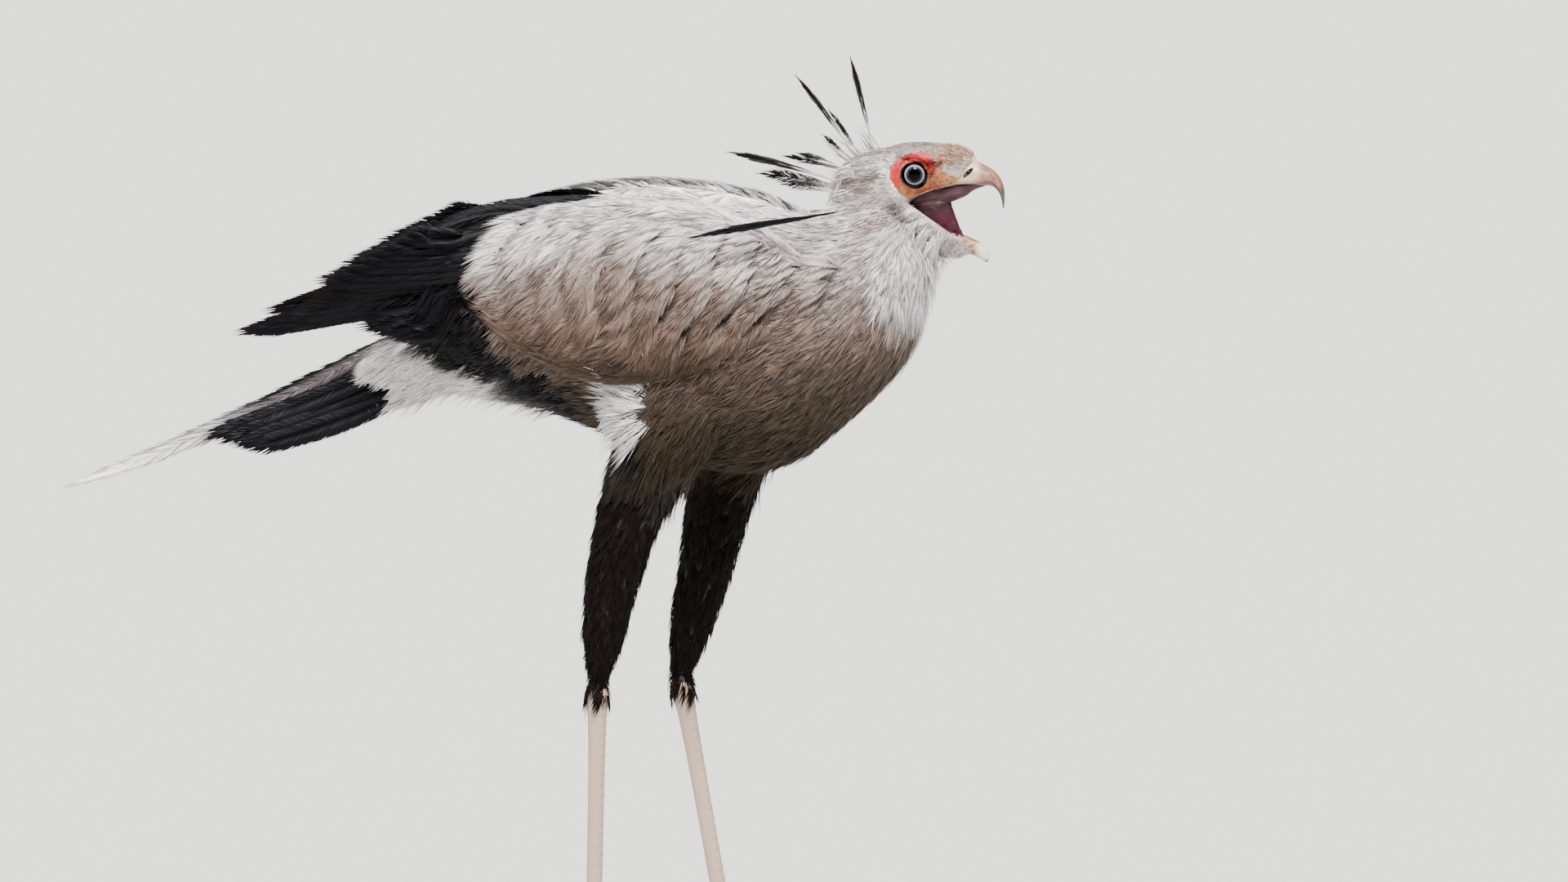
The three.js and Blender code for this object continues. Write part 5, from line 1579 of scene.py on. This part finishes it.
# %% [markdown]
# ## Bill, tongue and claws
# The horn is smooth and close to a plain tube, so it is made from the same kind of table as the
# flesh, with many rings. The palate and the trough are cut out of it, and a slanted slit on each side
# makes the nostril. The tongue and the ridge of the palate are one piece, the lining of the mouth.

# %% The horn of the bill
UPPER_BILL = [
    (224, 752, 212, 728.3, 10.5, 0.28), (230, 751.3, 220, 729.2, 12.4, 0.28),
    (236, 749.2, 228.5, 729.9, 11.8, 0.28), (242.5, 746, 235.5, 729.4, 10.2, 0.3),
    (249, 741.6, 242, 729.3, 8.2, 0.4), (254, 735, 247.4, 728.6, 6, 0.5),
    (256.6, 727.8, 251.8, 724.4, 4.5, 0.5), (257.3, 720.3, 254.2, 719.2, 2.9, 0.5),
    (256.9, 710.4, 255.9, 709.8, 0.8, 0.5),
]
LOWER_BILL = [
    (203, 695, 207, 680, 10.5, 0.7), (212, 691.6, 215, 676.5, 11.6, 0.7),
    (221, 687.8, 223, 673, 10.8, 0.7), (230, 683.9, 229.5, 670, 9, 0.65),
    (237, 679.9, 234.2, 667.5, 6.8, 0.6), (242.6, 673, 238.6, 665, 4.3, 0.6),
    (244.4, 666.8, 241.6, 663.6, 1.6, 0.5),
]
TONGUE = [
    (172, 721, 178, 703, 8, 0.5), (183, 722, 189, 693, 12, 0.5), (194.5, 724, 199.5, 687, 12, 0.5),
    (203.5, 724, 208.5, 683, 9.5, 0.5), (209, 719, 215, 681.5, 6.4, 0.5), (212, 708, 224, 680, 2.8, 0.5),
]
PALATE_RIDGE = [
    (176, 722, 180, 712, 7, 0.5), (190, 728, 196, 713.5, 9, 0.5), (208, 731, 212, 715.6, 8.5, 0.5),
    (220, 734, 222, 720, 7.5, 0.5), (230, 735, 230.5, 725.3, 6, 0.5), (240, 734, 240, 729.6, 4, 0.5),
]
TONGUE_DEPTH = -2.0
NOSTRIL_AT, NOSTRIL_RADII, NOSTRIL_TURN = np.array((228.4, 12.6, 741.6)), (6.0, 4.0, 1.7), -0.8

upper_bill = plain_object("bill_upper", *tube(profile(UPPER_BILL, 110), 72))
upper_bill = combine(upper_bill, plain_object("palate", *tube(profile(PALATE, 30), 32)), "DIFFERENCE")
for side in (-1, 1):
    slit = plain_object("slit", *ellipsoid(NOSTRIL_AT * (1, side, 1), NOSTRIL_RADII, turn=NOSTRIL_TURN))
    upper_bill = combine(upper_bill, slit, "DIFFERENCE")
lower_bill = plain_object("bill_lower", *tube(profile(LOWER_BILL, 80), 72))
lower_bill = combine(lower_bill, plain_object("trough", *tube(profile(TROUGH, 50), 48)), "DIFFERENCE")
tongue = plain_object("mouth_lining", *tube(profile(TONGUE, 60, TONGUE_DEPTH), 56))
tongue = combine(tongue, plain_object("ridge", *tube(profile(PALATE_RIDGE, 60), 48)), "UNION")
print("bill faces:", len(upper_bill.data.polygons), len(lower_bill.data.polygons))

# %% [markdown]
# The horn is pale near the face, brown and mottled further out, and dark at the tip. The slits of the
# nostrils are painted black inside as painted shade of the hollow, with a pale rim round them, and the roof
# of the mouth has the colour of the palate. The lining of the mouth is streaked along its length, in colour
# and in relief, and darker towards the back and over the tongue's top, as painted shade deep in the mouth.

# %% Paint the horn
points = drawn(upper_bill.data)
x, y, z = points.T
horn = mix(PALETTE["rim"], srgb(140, 98, 82), ramp(226, 240, x)[:, None])
mottle = ripple(points * (0.6, 1, 1), 1.9, 33)
horn = mix(horn, PALETTE["umber"], (0.6 * ramp(0.0, 0.9, mottle) * ramp(226, 236, x))[:, None])
horn = mix(horn, srgb(70, 64, 50), (ramp(246, 256, x) * ramp(732, 724, z))[:, None])
ahead_of_slit, out_of_slit, above_slit = (np.stack([x, np.abs(y), z], 1) - NOSTRIL_AT).T
horn = mix(horn, PALETTE["rim"], (0.8 * bump(np.hypot(ahead_of_slit, above_slit), 7, 2.4))[:, None])
slit_long = np.cos(NOSTRIL_TURN) * ahead_of_slit - np.sin(NOSTRIL_TURN) * above_slit
slit_high = np.sin(NOSTRIL_TURN) * ahead_of_slit + np.cos(NOSTRIL_TURN) * above_slit
in_slit = np.stack([slit_long, out_of_slit, slit_high], 1) / NOSTRIL_RADII
# The inside of the slit is painted black: painted shade of the hollow.
horn = mix(horn, PALETTE["black"], ramp(1.5, 1.15, (in_slit**2).sum(1))[:, None])
under = (z < 739) & (normals_of(upper_bill.data)[:, 2] < -0.3) & (np.abs(y) < 9)
horn = mix(horn, PALETTE["palate"], (0.85 * under)[:, None])
tint(upper_bill.data, horn)

x, y, z = drawn(lower_bill.data).T
inward = np.sign(y) * normals_of(lower_bill.data)[:, 1] < 0.1
mottle = ripple(np.stack([x * 0.6, y, z], 1), 3, 34)
horn = mix(srgb(180, 142, 118), PALETTE["umber"], (0.7 * ramp(0.0, 0.8, mottle) * ramp(206, 216, x))[:, None])
horn = mix(horn, srgb(226, 214, 192), ramp(231, 238, x)[:, None])
horn = mix(horn, PALETTE["soot"], (0.8 * ramp(668, 664.5, z) * ramp(238, 242, x))[:, None])
horn = mix(horn, PALETTE["palate"], (0.8 * (inward & (z > 676)))[:, None])
tint(lower_bill.data, horn)

# %% Paint the lining of the mouth
STREAK_HEIGHT = 0.45

points, normals_there = drawn(tongue.data), normals_of(tongue.data)
x, y, z = points.T
streaks = ripple(points * (0.3, 1, 1), 2.2, 31)
points = points + normals_there * (STREAK_HEIGHT * streaks)[:, None]
tongue.data.vertices.foreach_set("co", in_frame(points).ravel())
# Darker towards the back of the mouth and over the tongue's top: painted shade deep in the mouth.
lining = mix(PALETTE["mouth"] * 0.25, PALETTE["mouth"], (ramp(186, 208, x) * ramp(716, 702, z))[:, None])
ridge_low = np.interp(x, *np.array([row[2:4] for row in PALATE_RIDGE]).T)
roof_share = ramp(-1.0, 0.6, z - ridge_low) * ramp(174, 186, x)
lining = mix(lining, PALETTE["palate"] * 0.7, (roof_share * (0.8 + 0.2 * streaks))[:, None])
tint(tongue.data, lining)
print("painted:", len(horn), "points of the lower bill and", len(lining), "of the lining")

# %% [markdown]
# A claw is one arched tube, widest at its root. It is almost black, darkest towards the bottom and browner
# higher up.

# %% The claws
claws = {}
for name, leg in LEGS.items():
    for n, toe in enumerate(TOES, 1):
        claw = plain_object(f"talon_{name}_{n}", *tube(claw_rings(leg, toe, 30), 24))
        # The share of brown rises from 4 to 8 mm above the floor, so the claw is darker towards the bottom.
        worn = 0.5 * ramp(4, 8, drawn(claw.data)[:, 2])
        tint(claw.data, mix(PALETTE["soot"], PALETTE["umber"], worn[:, None]))
        claws[f"claw_{name}_{n}"] = claw
for thing in (skin, upper_bill, lower_bill, tongue, *claws.values()):
    thing.data.shade_smooth()
print("claws:", len(claws))

# %% [markdown]
# ## Finishes
# All materials start from the painted colour and break it up with noise at the size that the real
# surface shows. An image texture could hold the colours too, but the painted points need no picture
# and follow the shape. Plumage is dull, flight feathers are sleeker, horn is smooth and the eye wet.

# %% Materials
def finish(name, roughness, grain, contrast, relief, coat=0.0, specular=0.5):
    """A material that takes the painted colour, broken up by grain, with fine relief."""
    material = bpy.data.materials.new(name)
    material.use_nodes = True
    nodes, links = material.node_tree.nodes, material.node_tree.links
    shader = nodes["Principled BSDF"]
    shader.inputs["Roughness"].default_value = roughness
    shader.inputs["Coat Weight"].default_value = coat
    shader.inputs["Coat Roughness"].default_value = 0.04
    shader.inputs["Specular IOR Level"].default_value = specular
    paint = nodes.new("ShaderNodeVertexColor")
    paint.layer_name = "tint"
    place = nodes.new("ShaderNodeTexCoord")
    noise = nodes.new("ShaderNodeTexNoise")
    noise.inputs["Scale"].default_value = 1 / (grain * MM)
    noise.inputs["Detail"].default_value = 4
    links.new(place.outputs["Object"], noise.inputs["Vector"])
    level = nodes.new("ShaderNodeMapRange")
    level.inputs["To Min"].default_value = 1 - contrast
    level.inputs["To Max"].default_value = 1 + contrast
    links.new(noise.outputs["Fac"], level.inputs["Value"])
    shade = nodes.new("ShaderNodeMix")
    shade.data_type = "RGBA"
    shade.blend_type = "MULTIPLY"
    shade.inputs["Factor"].default_value = 1
    links.new(paint.outputs["Color"], shade.inputs["A"])
    links.new(level.outputs["Result"], shade.inputs["B"])
    links.new(shade.outputs["Result"], shader.inputs["Base Color"])
    bumps = nodes.new("ShaderNodeBump")
    bumps.inputs["Strength"].default_value = 0.5
    bumps.inputs["Distance"].default_value = relief * MM
    links.new(noise.outputs["Fac"], bumps.inputs["Height"])
    links.new(bumps.outputs["Normal"], shader.inputs["Normal"])
    return material


plumage = finish("plumage", 0.8, 1.5, 0.25, 0.15, specular=0.12)
gloss_plumage = finish("flight_plumage", 0.45, 1.5, 0.2, 0.1, specular=0.1)
bare_skin = finish("bare_skin", 0.5, 1.2, 0.22, 0.25, specular=0.4)
horn_finish = finish("horn", 0.4, 2.4, 0.18, 0.15, coat=0.1)
wet = finish("wet_lining", 0.62, 2.0, 0.35, 0.6, coat=0.03, specular=0.25)
eye_finish = finish("eye", 0.12, 1.0, 0.12, 0.0, coat=0.05, specular=0.05)
claw_finish = finish("claw", 0.35, 1.0, 0.2, 0.1, coat=0.2)


def wear(thing, material):
    """Puts a material on a piece."""
    thing.data.materials.clear()
    thing.data.materials.append(material)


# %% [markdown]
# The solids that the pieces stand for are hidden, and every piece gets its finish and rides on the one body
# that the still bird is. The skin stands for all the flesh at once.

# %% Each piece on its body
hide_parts("torso", "neck", "head", "jaw", "thigh_right", "thigh_left", "shank_right", "shank_left",
            "tarsus_right", "tarsus_left", "foot_right", "foot_left")
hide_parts("wing_right")
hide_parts("wing_left")
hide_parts("tail")
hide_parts("eye_right")
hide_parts("eye_left")
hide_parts("upper_bill")
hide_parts("lower_bill")
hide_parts("tongue")
for node, claw in claws.items():
    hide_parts(node)

finishes = [(skin, bare_skin, "face_skin")]
finishes += [(bill, horn_finish, "horn") for bill in (upper_bill, lower_bill)]
finishes += [(tongue, wet, "mouth")]
finishes += [(eye, eye_finish, "eye") for eye in eyes.values()]
finishes += [(claw, claw_finish, "claw") for claw in claws.values()]
finishes += [(coat, plumage, "plumage_grey") for coat in coats]
finishes += [(wing[0], gloss_plumage, "plumage_black") for wing in (wing_right, wing_left)]
finishes += [(wing[1], plumage, "plumage_pale") for wing in (wing_right, wing_left)]
finishes += [(piece, gloss_plumage, "plumage_black") for piece in tail_pieces]
finishes += [(piece, plumage, "plumage_black") for piece in (crest, shoulder_plumes, lashes)]
finishes += [(crest_tufts, plumage, "plumage_pale"), (back_plumes, gloss_plumage, "plumage_black")]
for thing, material, slot in finishes:
    wear(thing, material)
    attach(thing, "root")
print("pieces:", len(finishes))

# %% [markdown]
# ## Floor and light
# The floor is a plain pale sheet that reaches far enough to fill the view. A curved backdrop would
# hide its far edge, but would also stand in the way of views from behind.

# %% The stage
FLOOR_HALF = 60.0
floor_corners = [(FLOOR_HALF * x, FLOOR_HALF * y, 0) for x, y in ((-1, -1), (1, -1), (1, 1), (-1, 1))]
floor_mesh = bpy.data.meshes.new("floor")
floor_mesh.from_pydata(floor_corners, [], [(0, 1, 2, 3)])
floor = bpy.data.objects.new("floor", floor_mesh)
bpy.context.collection.objects.link(floor)
floor_paint = bpy.data.materials.new("floor_paint")
floor_paint.use_nodes = True
floor_shader = floor_paint.node_tree.nodes["Principled BSDF"]
floor_shader.inputs["Base Color"].default_value = (0.5, 0.5, 0.49, 1)
floor_shader.inputs["Roughness"].default_value = 0.9
floor_shader.inputs["Specular IOR Level"].default_value = 0.1
floor.data.materials.append(floor_paint)
floor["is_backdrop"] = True
print("floor:", 2 * FLOOR_HALF, "metres square")

# %% [markdown]
# A studio would use large lamps close by. Here three suns with wide discs give light as soft, and
# light the whole floor evenly: the key high on the camera's side, a weak fill low behind the tail, and
# one from above the far side that edges the back.

# %% The lights
def soft_light(name, towards, spread_angle, strength, tone=(1, 1, 1)):
    """A sun with a wide disc, so that its shadows are soft."""
    lamp = bpy.data.lights.new(name, "SUN")
    lamp.energy, lamp.angle, lamp.color = strength, np.radians(spread_angle), tone
    thing = bpy.data.objects.new(name, lamp)
    thing.rotation_euler = (-Vector(towards)).to_track_quat("-Z", "Y").to_euler()
    bpy.context.collection.objects.link(thing)


soft_light("key", (0.6, -2.2, 3.2), 24, 10.0, (1, 0.98, 0.95))
soft_light("fill", (-2.6, -1.4, 1.0), 60, 1.0)
soft_light("top", (-0.8, 1.0, 3.0), 40, 4.6)
world = bpy.data.worlds.new("sky")
bpy.context.scene.world = world
world.use_nodes = True
world.node_tree.nodes["Background"].inputs["Color"].default_value = (0.85, 0.9, 1, 1)
world.node_tree.nodes["Background"].inputs["Strength"].default_value = 0.3

# %% [markdown]
# ## Size and finish
# The box of the dressed bird is kept beside that of the solids, and both are printed, side by side.

# %% Size and finish
VISUAL_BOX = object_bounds()
boxes = {"cad": CAD_BOX, "visual": VISUAL_BOX}
boxes = {name: [list(map(float, corner)) for corner in box] for name, box in boxes.items()}
print(boxes)
